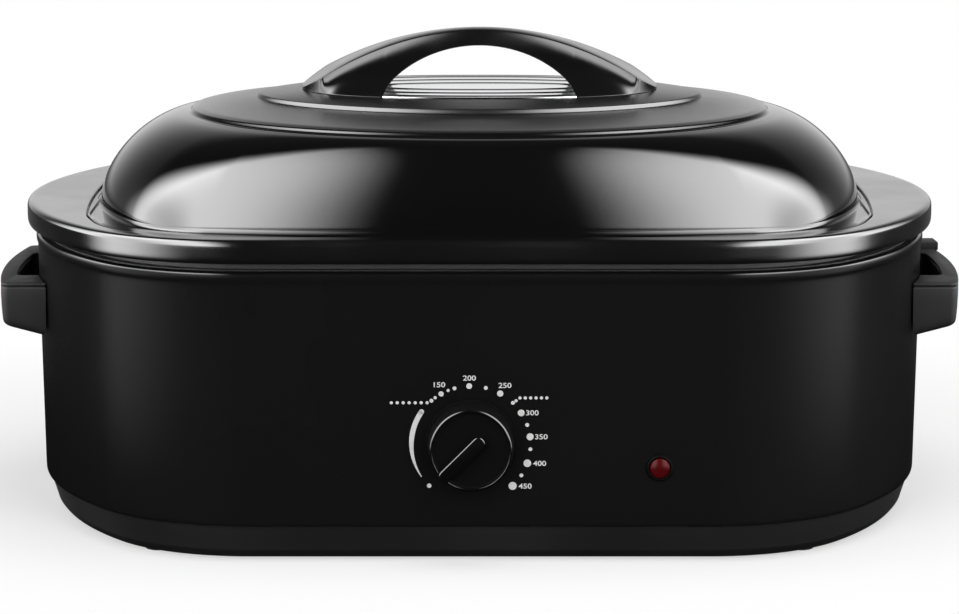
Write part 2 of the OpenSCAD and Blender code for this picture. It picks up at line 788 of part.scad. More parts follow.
module earth_screw() {
    color([0.78, 0.68, 0.38]) translate([-60, -60, flange_z + plate_t]) {
        along_z(3.4, 1);
        along_z(screw_r, 6);
        translate([0, 0, 4]) cylinder(r = 3.4, h = 2.4, $fn = 6);
    }
}

/* ---- Cord gland, at the back ---- */

gland_z = wall_z + 18;
gland_r = 8;
gland_out = knob_reach;      // its snout stands out as far as the knob does

module cord_gland() {
    y = wall_face(gland_z);
    color([0.1, 0.1, 0.1]) translate([0, y, gland_z]) rotate([-90, 0, 0]) difference() {
        union() {
            translate([0, 0, 0.2]) cylinder(r = gland_r + 3, h = 3, $fn = 64);
            translate([0, 0, 3]) cylinder(r1 = gland_r, r2 = gland_r - 2, h = gland_out - 3, $fn = 64);
            translate([0, 0, -12]) cylinder(r = gland_r, h = 13, $fn = 64);
        }
        translate([0, 0, -13]) cylinder(r = cord_r, h = gland_out + 14, $fn = 64);
    }
}

module gland_nut() {
    y = wall_face(gland_z) - wall_t - 6;
    color([0.75, 0.75, 0.77]) translate([0, y, gland_z]) rotate([-90, 0, 0]) difference() {
        cylinder(d = 26, h = 4, $fn = 6);
        translate([0, 0, -1]) cylinder(r = gland_r + run_gap, h = 6, $fn = 64);
    }
}

/* ---- Side handles, screwed on from inside the wall ---- */

cap_h = 1.5;
groove_h = 0.7;
handle_top = wall_z + side_top;
handle_low = handle_top - side_h;
taper = 5;                       // how much lower a handle's underside is at the wall
handle_bow_r = 500;
side_tip = half_w + side_out;
screw_y = side_l / 2 - 16;
screw_z = handle_top - 15;
wall_gap = wall_flare - 0.1;

module at_handle_screws() {
    for (side = [0, 180]) rotate(side) for (j = [-1, 1]) translate([0, j * screw_y, screw_z]) children();
}

// The handle seen from above, drawn in by inset
module handle_shape(inset) {
    difference() {
        intersection() {
            translate([side_tip - inset - handle_bow_r, 0]) circle(handle_bow_r, $fn = 240);
            translate([half_w - 20, -side_l / 2 + inset]) square([80, side_l - 2 * inset]);
        }
        translate([half_w - end_r, 0]) circle(end_r + wall_gap + inset * 0.5, $fn = 240);
        intersection() {
            translate([side_tip - side_bar + inset - handle_bow_r, 0]) circle(handle_bow_r, $fn = 240);
            translate([half_w - 20, -side_slot_l / 2 - inset]) square([80, side_slot_l + 2 * inset]);
        }
    }
}

module side_grip() {
    split = handle_top - cap_h - groove_h;
    difference() {
        union() {
            intersection() {
                translate([0, 0, handle_low - taper])
                    linear_extrude(split - handle_low + taper) handle_shape(0);
                rotate([90, 0, 0]) translate([0, 0, -side_l]) linear_extrude(2 * side_l) polygon([
                    [half_w - 20, handle_low - taper - 1], [half_w + 3, handle_low - taper],
                    [side_tip - 3, handle_low], [side_tip + 9, handle_low + 1],
                    [side_tip + 9, split], [half_w - 20, split]
                ]);
            }
            translate([0, 0, split - fuse]) linear_extrude(groove_h + fuse) handle_shape(0.8);
        }
        for (j = [-1, 1]) translate([half_w - 12, j * screw_y, screw_z]) along_x(screw_r, 26);
    }
}

module side_cap() {
    translate([0, 0, handle_top - cap_h]) linear_extrude(cap_h) handle_shape(0);
}

lug_h = 5;
lug_l = 18;
module lid_lug() {
    translate([0, 0, handle_top - fuse]) linear_extrude(lug_h + fuse) intersection() {
        handle_shape(0.4);
        translate([half_w - 20, side_l / 2 - lug_l]) square([side_out + 9, lug_l]);
    }
}

module left_handle() { color([0.2, 0.2, 0.205]) rotate(180) side_grip(); }
module right_handle() { color([0.2, 0.2, 0.205]) side_grip(); }
module left_handle_cap() { color([0.23, 0.23, 0.235]) rotate(180) side_cap(); }
module right_handle_cap() {
    color([0.23, 0.23, 0.235]) {
        side_cap();
        lid_lug();
    }
}

bracket_gap = 5;
function end_wall_x(y, o) = half_w - end_r + sqrt(pow(end_r + o, 2) - y * y);

module handle_brackets() {
    x = end_wall_x(screw_y, flare_at(screw_z) - wall_t) - bracket_gap;
    color([0.66, 0.67, 0.68]) for (side = [0, 180]) rotate(side) difference() {
        translate([x - 1.5, -screw_y - 9, screw_z - 9]) cube([1.5, 2 * screw_y + 18, 18]);
        for (j = [-1, 1]) translate([x - 4, j * screw_y, screw_z]) along_x(screw_r + fit_gap, 8);
    }
}

module handle_screws() {
    x = end_wall_x(screw_y, flare_at(screw_z) - wall_t) - bracket_gap - 1.5;
    color([0.7, 0.7, 0.72]) at_handle_screws() {
        translate([x - head_h, 0, 0]) along_x(head_r, head_h);
        translate([x - fuse, 0, 0]) along_x(screw_r - run_gap, half_w + 12 - x);
    }
}

/* ---- Roasting pan and rack ---- */

pan_top = -4;                 // the pan's wall inside the dome's outline
pan_low = pan_top - pan_draft;

module roasting_pan() {
    t = pan_t;
    o = rim_out;
    z = rim_z;
    fl = pan_floor_z;
    s = flange_w + 1.5;
    color([0.16, 0.16, 0.17]) vessel([
        dome_ring(pan_low - 16, fl - t), dome_ring(pan_low - 6, fl + 0.4),
        dome_ring(pan_low - 0.6, fl + 6), dome_ring(pan_low + 1.2, fl + 16),
        dome_ring(pan_top, collar_z - 9), dome_ring(pan_top + 2, collar_z - 2.4),
        dome_ring(pan_top + 6, collar_z), cut_ring(s + t, collar_z, seat_x + t, seat_bow),
        cut_ring(s + t, z - t, seat_x + t, seat_bow), body_ring(o - 5.5, z - t),
        body_ring(o - 2.6, z - t - 1.8), body_ring(o - t, z - t - 5),
        body_ring(o - t - 0.6, z - rim_h + 3), body_ring(o - t - 1.8, z - rim_h + 0.6),
        body_ring(o - 2, z - rim_h), body_ring(o - 0.6, z - rim_h + 3.4), body_ring(o, z - 8),
        body_ring(o - 0.3, z - 4.4), body_ring(o - 1.8, z - 1.4), body_ring(o - 4.5, z),
        cut_ring(s, z, seat_x, seat_bow), cut_ring(s - 0.4, seat_z, seat_x - 0.4, seat_bow),
        dome_ring(pan_top + 5, seat_z), dome_ring(pan_top + 0.6, seat_z - 2),
        dome_ring(pan_top - t, seat_z - 9), dome_ring(pan_low - t + 1.2, fl + 17),
        dome_ring(pan_low - t - 0.8, fl + 7),
        dome_ring(pan_low - 7.2, fl + 1.8), dome_ring(pan_low - 17, fl)
    ]);
}

wire_r = 2.2;
thinner = 0.15;                // wires that meet end to end differ by this in radius
cross_r = 1.6;
rack_in = 26;                 // the rack's frame inside the pan's floor
rack_foot = 9;
rack_z = pan_floor_z + rack_foot + wire_r;
rack_hw = dome_hw + pan_low - rack_in;
rack_hd = dome_hd + pan_low - rack_in;
rack_cut = 34;                // how far its corners are cut off
rack_wires = 15;
runner_y = 55;
loop_half = runner_y;
loop_h = 62;
loop_in = 6;

// Straight wire between two points
module wire(a, b, r) {
    v = b - a;
    translate(a) rotate([0, acos(v[2] / norm(v)), atan2(v[1], v[0])])
        cylinder(r = r, h = norm(v), $fn = 32);
}

module wire_rack() {
    w = rack_hw;
    d = rack_hd;
    c = rack_cut;
    frame = [
        [w, d - c], [w - c, d], [-w + c, d], [-w, d - c],
        [-w, -d + c], [-w + c, -d], [w - c, -d], [w, -d + c]
    ];
    corners = raised(frame, rack_z);
    pitch = (w - 22) * 2 / (rack_wires - 1);
    color([0.8, 0.8, 0.82]) {
        for (i = [0:7]) wire(corners[i], corners[(i + 1) % 8], i % 2 == 0 ? wire_r - thinner : wire_r);
        for (i = [0:rack_wires - 1]) {
            x = (i - (rack_wires - 1) / 2) * pitch;
            reach = d - max(0, abs(x) - w + c);
            z = rack_z + wire_r + cross_r - 1;
            wire([x, -reach, z], [x, reach, z], cross_r);
        }
        for (k = [-1, 1]) {
            wire([-w, k * runner_y, rack_z - 0.4], [w, k * runner_y, rack_z - 0.4], cross_r);
            for (i = [-1, 1])
                wire([i * (w - 70), k * runner_y, pan_floor_z], [i * (w - 70), k * runner_y, rack_z],
                    cross_r - thinner);
        }
        for (side = [-1, 1]) rack_loop(side * (w - loop_in));
    }
}

// One lifting loop, standing on the wires at the end of the rack
module rack_loop(x) {
    r = wire_r - 0.3;
    low = [for (k = [-1, 1]) [x, k * loop_half, rack_z - 0.7]];
    bent = [for (k = [-1, 1]) [x, k * loop_half, rack_z + loop_h - 10]];
    high = [for (k = [-1, 1]) [x, k * (loop_half - 10), rack_z + loop_h]];
    for (k = [0, 1]) {
        wire(low[k], bent[k], r);
        wire(bent[k], high[k], r - thinner);
    }
    wire(high[0], high[1], r);
    wire(low[0], low[1], r - thinner);
}

/* ---- Lid ---- */

step_n = 2.1;
upper_n = 1.9;
foot_rise = 2.2;
curl = 1;

// Inward travel of the dome from its foot (0) to the lower step (1), and its height there
function shoulder_at(t) =
    (shoulder_h - foot_rise - 7) * pow(1 - pow(1 - t, 1.75), 1 / 1.75) + 7 * t;

function shoulder_ring(t, z, inset) =
    blended(bulge_ring(curl - inset, 0), oval_ring(lower_step - [inset, inset], step_n, 0), t, z);

function top_ring(t, z, inset) =
    blended(
        oval_ring(lower_step - [inset, inset], step_n, 0),
        oval_ring(upper_step - [inset, inset], upper_n, 0), t, z
    );

shoulder_stops = [0, 0.012, 0.05, 0.12, 0.24, 0.4, 0.6, 0.8, 0.97];
lid_face_z = seat_z + lid_t;

// Rings of the dome from its foot to its crown, sunk by inset and dropped by drop
function dome_skin(inset, drop) = concat(
    [for (t = shoulder_stops) shoulder_ring(t, lid_face_z + foot_rise + shoulder_at(t) - drop, inset)],
    [
        top_ring(0.03, shoulder_z + step_h * 0.2 - drop, inset),
        top_ring(0.08, shoulder_z + step_h - drop, inset),
        top_ring(0.5, shoulder_z + step_h + mid_rise * 0.62 - drop, inset),
        top_ring(1, upper_z - drop, inset),
        oval_ring(upper_step - [2.5 + inset, 2.5 + inset], upper_n, upper_z + step_h * 0.3 - drop),
        oval_ring(upper_step - [6 + inset, 6 + inset], upper_n, upper_z + step_h - drop),
        oval_ring([grip_l / 2 + 2 - inset, grip_d / 2 + 1 - inset], 2.4, crown_z - drop)
    ]
);

lid_screw_x = 88;

module lid_shell() {
    inner = dome_skin(lid_t, lid_t);
    outer = dome_skin(0, 0);
    last = len(inner) - 1;
    fw = flange_w;
    color([0.1, 0.1, 0.105]) difference() {
        vessel(concat(
            [for (i = [last:-1:0]) inner[i]],
            [
                bulge_ring(0.6, seat_z), cut_ring(fw - 0.5, seat_z, cut_x - 0.5, 0),
                cut_ring(fw, seat_z + 0.6, cut_x, 0), cut_ring(fw, seat_z + lid_t + 0.8, cut_x, 0),
                cut_ring(fw - 0.7, seat_z + lid_t + 1.2, cut_x - 0.7, 0),
                cut_ring(fw - 2, lid_face_z, cut_x - 1.6, 0), bulge_ring(1.6, lid_face_z)
            ],
            outer
        ));
        at_lid_screws() translate([0, 0, crown_z - 12]) along_z(screw_r + fit_gap, 20);
    }
}

module at_lid_screws() {
    for (i = [-1, 1]) translate([i * lid_screw_x, 0, 0]) children();
}

// Polished oval plate with three pressed ripples
ripples = [20, 40, 58];
ripple_depth = 0.4;

module handle_plate() {
    long = grip_l / 2 - grip_d / 2;
    color([0.88, 0.88, 0.9]) difference() {
        translate([0, 0, crown_z]) linear_extrude(shield_t) oval_shape(grip_l / 2, grip_d / 2);
        at_lid_screws() translate([0, 0, crown_z - 1]) along_z(screw_r + fit_gap, 4);
        for (b = ripples) translate([0, 0, grip_z - ripple_depth]) linear_extrude(1) difference() {
            oval_shape(b + long, b);
            oval_shape(b + long - 0.8, b - 0.8);
        }
    }
}

// Oval with half sizes a and b
module oval_shape(a, b) {
    polygon([for (i = [0:5:355]) let (d = [cos(i), sin(i)])
        d / pow(pow(abs(d[0]) / a, 2.4) + pow(abs(d[1]) / b, 2.4), 1 / 2.4)]);
}

// The arched grip: each cross-section is crowned on top and flares down to its feet
grip_arc_r = (pow(grip_l / 2, 2) + pow(grip_rise - shield_t - 1, 2)) / (2 * (grip_rise - shield_t - 1));
function grip_top_at(x) = grip_top_z - grip_arc_r + sqrt(pow(grip_arc_r, 2) - x * x);
function grip_foot_at(x) =
    (grip_d / 2) * pow(max(0, 1 - pow(abs(x) / (grip_l / 2), 2.4)), 1 / 2.4);
function grip_crease_at(x) = min(grip_top_d / 2 + 0.0031 * x * x, grip_foot_at(x) - 0.4);
grip_side_stops = [0, 0.2, 0.4, 0.6, 0.8, 1];

function grip_section(x) =
    let (
        zt = grip_top_at(x),
        wt = grip_crease_at(x),
        wb = grip_foot_at(x),
        right = [for (s = grip_side_stops)
            [x, wt + (wb - wt) * s * s, (zt - 1.2) + (grip_z - zt + 1.2) * s]],
        n = len(right)
    )
    concat(
        [[x, 0, zt], [x, wt * 0.6, zt - 0.4]],
        right,
        [for (i = [n - 1:-1:0]) [x, -right[i][1], right[i][2]]],
        [[x, -wt * 0.6, zt - 0.4]]
    );

grip_stops = [for (i = [-14:14]) (grip_l / 2 - 1.5) * sin(i * 90 / 14)];
gap_foot_in = 7.5;             // the feet's inner edges draw in towards the front and back

module lid_handle() {
    rise = grip_gap;
    r = (pow(grip_gap_w / 2, 2) + rise * rise) / (2 * rise);
    drop = r - rise;
    r_side = norm([grip_gap_w / 2 - gap_foot_in, drop]);
    sections = [for (x = grip_stops) grip_section(x)];
    color([0.06, 0.06, 0.065]) difference() {
        vessel(sections);
        translate([0, 0, grip_z - drop]) rotate([90, 0, 0]) rotate_extrude($fn = 120) polygon([
            [0, -grip_d], [r_side, -grip_d], [r_side, -grip_d / 2], [r - 2, -grip_d / 4], [r, 0],
            [r - 2, grip_d / 4], [r_side, grip_d / 2], [r_side, grip_d], [0, grip_d]
        ]);
        at_lid_screws() translate([0, 0, grip_z - 1]) along_z(screw_r, 11);
    }
}

module lid_washers() {
    color([0.75, 0.75, 0.77]) at_lid_screws() translate([0, 0, crown_z - lid_t - 1]) difference() {
        along_z(8, 1);
        translate([0, 0, -1]) along_z(screw_r + fit_gap, 3);
    }
}

module lid_screws() {
    color([0.7, 0.7, 0.72]) at_lid_screws() translate([0, 0, crown_z - lid_t - 1]) {
        translate([0, 0, -head_h]) along_z(head_r + 0.6, head_h);
        translate([0, 0, -fuse]) along_z(screw_r - run_gap, lid_t + shield_t + 10);
    }
}

base_ring();
bottom_plate();
rubber_feet();
plate_screws();
outer_wall();
inner_liner();
liner_posts();
post_screws();
insulation_wrap();
heating_element();
element_clips();
element_terminals();
thermostat_body();
thermostat_bush();
thermostat_nut();
thermostat_bracket();
thermal_fuse();
control_shaft();
control_knob();
knob_spring();
lamp_lens();
lamp_bezel();
neon_lamp();
terminal_block();
mains_leads();
element_leads();
lamp_leads();
earth_screw();
cord_gland();
gland_nut();
left_handle();
right_handle();
left_handle_cap();
right_handle_cap();
handle_brackets();
handle_screws();
roasting_pan();
wire_rack();
lid_shell();
handle_plate();
lid_handle();
lid_washers();
lid_screws();
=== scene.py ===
import math

import bmesh
import bpy
import numpy as np
from mathutils import Matrix, Vector


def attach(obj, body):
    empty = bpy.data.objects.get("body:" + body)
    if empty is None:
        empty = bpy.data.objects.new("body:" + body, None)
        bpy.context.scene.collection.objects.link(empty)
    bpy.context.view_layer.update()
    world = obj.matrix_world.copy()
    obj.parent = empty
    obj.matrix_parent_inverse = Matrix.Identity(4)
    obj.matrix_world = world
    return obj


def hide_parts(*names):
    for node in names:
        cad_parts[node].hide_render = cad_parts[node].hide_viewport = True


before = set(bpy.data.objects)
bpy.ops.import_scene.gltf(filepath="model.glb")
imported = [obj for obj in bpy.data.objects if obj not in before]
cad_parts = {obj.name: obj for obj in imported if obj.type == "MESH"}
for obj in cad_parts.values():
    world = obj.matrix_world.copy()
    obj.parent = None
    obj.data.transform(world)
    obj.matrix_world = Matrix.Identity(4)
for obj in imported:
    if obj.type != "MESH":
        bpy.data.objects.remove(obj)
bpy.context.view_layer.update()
mm = 0.001

# ---- The photograph's view ----
# A long lens a little above the lid's flange, square to the front of the oven.
eye_height = 520.8 * mm
eye_distance = 2431.1 * mm
look_down = 9.363

camera_data = bpy.data.cameras.new("camera")
camera_data.sensor_width = 36
camera_data.lens = 145.06
camera = bpy.data.objects.new("camera", camera_data)
camera.location = (0, -eye_distance, eye_height)
camera.rotation_euler = (math.radians(90 - look_down), 0, 0)
bpy.context.scene.collection.objects.link(camera)
bpy.context.scene.camera = camera
bpy.context.scene.view_settings.view_transform = "Standard"


# ---- The studio ----
# White floor and surroundings. Gloss sees a pale wall behind the oven, dark above,
# and a large softbox on each side of the camera with a narrow gap between them.
def wire_up(links, value, socket):
    """Sets a socket to a number, or joins it to another node's output."""
    if isinstance(value, (int, float)):
        socket.default_value = value
    else:
        links.new(value, socket)


def calculate(tree, operation, *values):
    node = tree.nodes.new("ShaderNodeMath")
    node.operation = operation
    for value, socket in zip(values, node.inputs):
        wire_up(tree.links, value, socket)
    return node.outputs[0]


def ease(tree, value, start, end, low=0.0, high=1.0):
    """Goes smoothly from low to high as value goes from start to end."""
    node = tree.nodes.new("ShaderNodeMapRange")
    node.interpolation_type = "SMOOTHSTEP"
    sockets = {"Value": value, "From Min": start, "From Max": end, "To Min": low, "To Max": high}
    for name, amount in sockets.items():
        wire_up(tree.links, amount, node.inputs[name])
    return node.outputs["Result"]


softbox_glow = 14.8
floor_glow = 9.0
backdrop_glow = 0.95
ceiling_glow = 0.012
fill_glow = 0.36

world = bpy.data.worlds.new("studio")
bpy.context.scene.world = world
world.use_nodes = True
tree = world.node_tree
tree.nodes.clear()
direction = tree.nodes.new("ShaderNodeSeparateXYZ")
tree.links.new(tree.nodes.new("ShaderNodeTexCoord").outputs["Generated"], direction.inputs[0])
side, ahead, up = direction.outputs
aside = calculate(tree, "ABSOLUTE", side)
turn = calculate(tree, "ARCTAN2", aside, calculate(tree, "MULTIPLY", ahead, -1.0))


def product(*values):
    result = values[0]
    for value in values[1:]:
        result = calculate(tree, "MULTIPLY", result, value)
    return result


above_floor = (-0.06, 0.03)
softbox = product(ease(tree, aside, 0.17, 0.475), ease(tree, turn, 1.85, 2.45, 1.0, 0.0),
                  ease(tree, up, *above_floor), ease(tree, aside, 0.6, 0.95, 1.0, 0.6), softbox_glow)
lit_floor = product(ease(tree, turn, 0.6, 1.4), ease(tree, turn, 1.5, 2.05, 1.0, 0.0),
                    ease(tree, up, -0.5, -0.1, 0.2, 1.0), ease(tree, up, *above_floor, 1.0, 0.0), floor_glow)
near_floor = product(ease(tree, turn, 0.5, 1.1, 0.02, 0.5), ease(tree, turn, 1.1, 1.9, 1.0, 0.06),
                     ease(tree, up, *above_floor, 1.0, 0.0))
backdrop = product(ease(tree, turn, 2.5, 3.0, 0.2, 1.0), ease(tree, turn, 2.2, 2.4),
                   ease(tree, up, 0.1, 0.6, 1.0, 0.03), ease(tree, up, *above_floor, 0.1, 1.0), backdrop_glow)
gloss_view = ceiling_glow
for part in (softbox, lit_floor, near_floor, backdrop):
    gloss_view = calculate(tree, "ADD", part, gloss_view)
rays = tree.nodes.new("ShaderNodeLightPath")
seen_white = calculate(tree, "MULTIPLY", rays.outputs["Is Camera Ray"], 1 - fill_glow)
plain_view = calculate(tree, "ADD", fill_glow, seen_white)
mixed = tree.nodes.new("ShaderNodeMix")
wire_up(tree.links, rays.outputs["Is Glossy Ray"], mixed.inputs["Factor"])
wire_up(tree.links, plain_view, mixed.inputs["A"])
wire_up(tree.links, gloss_view, mixed.inputs["B"])
background = tree.nodes.new("ShaderNodeBackground")
background.inputs["Color"].default_value = (1, 1, 1, 1)
tree.links.new(mixed.outputs["Result"], background.inputs["Strength"])
tree.links.new(background.outputs[0], tree.nodes.new("ShaderNodeOutputWorld").inputs["Surface"])


def lamp(name, place, size, power):
    """A soft square lamp that looks at the oven and lights it without showing in its gloss."""
    data = bpy.data.lights.new(name, "AREA")
    data.shape, data.size, data.energy = "SQUARE", size, power
    light = bpy.data.objects.new(name, data)
    light.location = place
    light.rotation_euler = (Vector((0, 0, 0.1)) - Vector(place)).to_track_quat("-Z", "Y").to_euler()
    light.visible_glossy = False
    bpy.context.scene.collection.objects.link(light)


lamp("top_lamp", (0.2, -0.4, 2.3), 1.6, 26)
lamp("left_lamp", (-0.8, -2.3, 1.0), 1.2, 24)
lamp("right_lamp", (1.0, -2.2, 1.0), 1.2, 26)

floor_reach = 4.0
floor_mesh = bpy.data.meshes.new("floor")
floor_corners = ((-1, -1), (1, -1), (1, 1), (-1, 1))
floor_mesh.from_pydata([(x * floor_reach, y * floor_reach, 0) for x, y in floor_corners], [], [(0, 1, 2, 3)])
floor = bpy.data.objects.new("floor", floor_mesh)
bpy.context.scene.collection.objects.link(floor)
white = bpy.data.materials.new("white_floor")
white.use_nodes = True
tree = white.node_tree
tree.nodes.clear()
away = tree.nodes.new("ShaderNodeVectorMath")
away.operation = "LENGTH"
tree.links.new(tree.nodes.new("ShaderNodeTexCoord").outputs["Object"], away.inputs[0])
lit = tree.nodes.new("ShaderNodeBsdfDiffuse")
lit.inputs["Color"].default_value = (0.92, 0.92, 0.92, 1)
glow = tree.nodes.new("ShaderNodeEmission")
far = tree.nodes.new("ShaderNodeMixShader")
tree.links.new(ease(tree, away.outputs["Value"], 0.3, 0.7, 0.55, 1.0), far.inputs[0])
tree.links.new(lit.outputs[0], far.inputs[1])
tree.links.new(glow.outputs[0], far.inputs[2])
seen = tree.nodes.new("ShaderNodeMixShader")
tree.links.new(tree.nodes.new("ShaderNodeLightPath").outputs["Is Glossy Ray"], seen.inputs[0])
tree.links.new(far.outputs[0], seen.inputs[1])
# Painted shade: in gloss the floor within about half a metre of the oven is black, for the oven's shadow on the
# floor; it fades out by 0.95 m, where gloss sees through to the world.
shade = tree.nodes.new("ShaderNodeEmission")
shade.inputs["Strength"].default_value = 0.0
glossed = tree.nodes.new("ShaderNodeMixShader")
tree.links.new(ease(tree, away.outputs["Value"], 0.45, 0.95), glossed.inputs[0])
tree.links.new(shade.outputs[0], glossed.inputs[1])
tree.links.new(tree.nodes.new("ShaderNodeBsdfTransparent").outputs[0], glossed.inputs[2])
tree.links.new(glossed.outputs[0], seen.inputs[2])
tree.links.new(seen.outputs[0], tree.nodes.new("ShaderNodeOutputMaterial").inputs["Surface"])
floor_mesh.materials.append(white)


# ---- Base ring ----
# A moulded black plastic ring that the wall stands on. It draws in towards the table,
# and its lip sits inside the wall's rolled foot.
def finish(name, colour, roughness, **sockets):
    """A material with one shader, whose even values are set straight on its sockets."""
    material = bpy.data.materials.new(name)
    material.use_nodes = True
    shader = material.node_tree.nodes["Principled BSDF"]
    shader.inputs["Base Color"].default_value = (*colour, 1)
    shader.inputs["Roughness"].default_value = roughness
    for socket, value in sockets.items():
        shader.inputs[socket.replace("_", " ")].default_value = value
    return material


def noise(material, scale, detail=2.0, stretch=(1, 1, 1)):
    """Noise in the row frame, in features per metre, drawn out along an axis where stretch is small."""
    tree = material.node_tree
    place = tree.nodes.new("ShaderNodeMapping")
    place.inputs["Scale"].default_value = stretch
    tree.links.new(tree.nodes.new("ShaderNodeTexCoord").outputs["Object"], place.inputs["Vector"])
    texture = tree.nodes.new("ShaderNodeTexNoise")
    texture.inputs["Scale"].default_value = scale
    texture.inputs["Detail"].default_value = detail
    tree.links.new(place.outputs[0], texture.inputs["Vector"])
    return texture.outputs["Fac"]


def place_along(tree, axis):
    """A point's place along X, Y or Z in the row frame, in metres."""
    place = tree.nodes.new("ShaderNodeSeparateXYZ")
    tree.links.new(tree.nodes.new("ShaderNodeTexCoord").outputs["Object"], place.inputs[0])
    return place.outputs[axis]


def grain(material, scale, depth, detail=2.0, stretch=(1, 1, 1)):
    """Fine relief over the surface, depth in metres."""
    tree = material.node_tree
    bump = tree.nodes.new("ShaderNodeBump")
    bump.inputs["Strength"].default_value = 1.0
    bump.inputs["Distance"].default_value = depth
    tree.links.new(noise(material, scale, detail, stretch), bump.inputs["Height"])
    tree.links.new(bump.outputs[0], tree.nodes["Principled BSDF"].inputs["Normal"])


def wear(material, scale, low, high):
    """Roughness that wanders between low and high, as handling and wiping leave it."""
    tree = material.node_tree
    result = ease(tree, noise(material, scale, 4.0), 0.3, 0.7, low, high)
    tree.links.new(result, tree.nodes["Principled BSDF"].inputs["Roughness"])


def tint(material, scale, dark, light):
    """Colour that wanders between two near shades."""
    tree = material.node_tree
    ramp = tree.nodes.new("ShaderNodeValToRGB")
    ramp.color_ramp.elements[0].position, ramp.color_ramp.elements[0].color = 0.3, (*dark, 1)
    ramp.color_ramp.elements[1].position, ramp.color_ramp.elements[1].color = 0.7, (*light, 1)
    tree.links.new(noise(material, scale, 3.0), ramp.inputs[0])
    tree.links.new(ramp.outputs[0], tree.nodes["Principled BSDF"].inputs["Base Color"])


end_steps, corner_steps, front_steps = 22, 22, 14


def all_round(quarter, z):
    """A ring of points from its first quarter."""
    points = quarter + [(-x, y) for x, y in quarter[-2::-1]]
    points += [(-x, -y) for x, y in quarter[1:]] + [(x, -y) for x, y in quarter[-2:0:-1]]
    return np.array([(x, y, z) for x, y in points])


def outline(half_w, half_d, end_r, corner_r, out, z):
    """Points round a rounded rectangle with bowed ends, anticlockwise from +X, in millimetres."""
    half_w, half_d, end_r, corner_r = half_w + out, half_d + out, end_r + out, corner_r + out
    straight = half_w - end_r + math.sqrt((end_r - corner_r) ** 2 - (half_d - corner_r) ** 2)
    meet = math.atan2(half_d - corner_r, straight - half_w + end_r)
    quarter = []
    for i in range(end_steps + 1):
        a = meet * i / end_steps
        quarter.append((half_w - end_r + end_r * math.cos(a), end_r * math.sin(a)))
    for i in range(1, corner_steps + 1):
        a = meet + (math.pi / 2 - meet) * i / corner_steps
        quarter.append((straight + corner_r * math.cos(a), half_d - corner_r + corner_r * math.sin(a)))
    for i in range(1, front_steps + 1):
        quarter.append((straight * (1 - i / front_steps), half_d))
    return all_round(quarter, z)


body_half_w, body_half_d, body_end_r, body_corner_r = 276, 204, 273, 109


def body_ring(out, z):
    return outline(body_half_w, body_half_d, body_end_r, body_corner_r, out, z)


def smoothed(rings, passes, loop=False):
    """Cuts the corners of a profile of rings, so that it turns smoothly. Close rings keep a corner tight."""
    for _ in range(passes):
        pairs = list(zip(rings, rings[1:] + rings[:1])) if loop else list(zip(rings, rings[1:]))
        cut = [p for a, b in pairs for p in (a * 0.75 + b * 0.25, a * 0.25 + b * 0.75)]
        rings = cut if loop else [rings[0], *cut, rings[-1]]
    return rings


def put(mesh, name, body, material, replaced=()):
    """Shows a mesh as a piece that rides on a body of the frame."""
    piece = bpy.data.objects.new(name, mesh)
    bpy.context.scene.collection.objects.link(piece)
    mesh.materials.clear()
    mesh.materials.append(material)
    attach(piece, body)
    if replaced:
        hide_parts(*replaced)
    return piece


def skin(name, rings, loop=False, capped=False):
    """Smooth mesh through rings of points given in millimetres."""
    count, n = len(rings), len(rings[0])
    faces = []
    for j in range(count if loop else count - 1):
        low, high = j * n, (j + 1) % count * n
        faces += [(low + i, low + (i + 1) % n, high + (i + 1) % n, high + i) for i in range(n)]
    if capped:
        faces += [tuple(range(n))[::-1], tuple(range((count - 1) * n, count * n))]
    mesh = bpy.data.meshes.new(name)
    mesh.from_pydata([tuple(p * mm) for ring in rings for p in ring], [], faces)
    work = bmesh.new()
    work.from_mesh(mesh)
    bmesh.ops.recalc_face_normals(work, faces=work.faces)
    work.to_mesh(mesh)
    work.free()
    mesh.shade_smooth()
    return mesh


wall_foot = 22
wall_top = wall_foot + 152.8

base_plastic = finish("base_plastic", (0.006, 0.006, 0.0065), 0.42, Specular_IOR_Level=0.25)
grain(base_plastic, 1400, 0.00003)
wear(base_plastic, 9, 0.36, 0.48)
lip = wall_foot + 6
base_profile = [
    (-43.7, 3), (-16.5, 3), (-15.2, 1.4), (-13.4, 1.2), (-11.8, 1.6), (-10.4, 2.6), (-8.8, 4.4), (-7.2, 6.6),
    (-6.9, 8), (-4, 17), (-3.1, 20.4), (-2.7, 21.3), (-2.6, 21.7),
    (-2.6, 21.7), (-2.6, lip), (-5.3, lip), (-12.7, 9), (-14.7, 6), (-43.7, 6)
]
base_rings = [body_ring(out, z) for out, z in base_profile]
soft_count = 13
put(skin("base_ring_moulding", smoothed(base_rings[:soft_count], 2) + base_rings[soft_count:], loop=True),
    "base_ring_moulding", "housing", base_plastic, ["base_ring"])

# ---- Feet, bottom plate and its screws ----
# Four soft black rubber feet are pressed through the ring. The plate under the well is
# plated sheet steel with slots for air, held by small screws.
def lathe(name, profile, sides=48, axis="Z"):
    """Smooth turned mesh of a profile of (radius, height) in millimetres, round its own axis."""
    rings = []
    for radius, height in profile:
        angles = [2 * math.pi * i / sides for i in range(sides)]
        rings.append(np.array([(radius * math.cos(a), radius * math.sin(a), height) for a in angles]))
    mesh = skin(name, rings, capped=True)
    if axis == "Y":
        mesh.transform(Matrix.Rotation(math.pi / 2, 4, "X"))
    return mesh


def profile_smoothed(points, passes=2):
    return [tuple(p) for p in smoothed([np.array(p, float) for p in points], passes)]


def moved(mesh, x, y, z):
    mesh.transform(Matrix.Translation(Vector((x, y, z)) * mm))
    return mesh


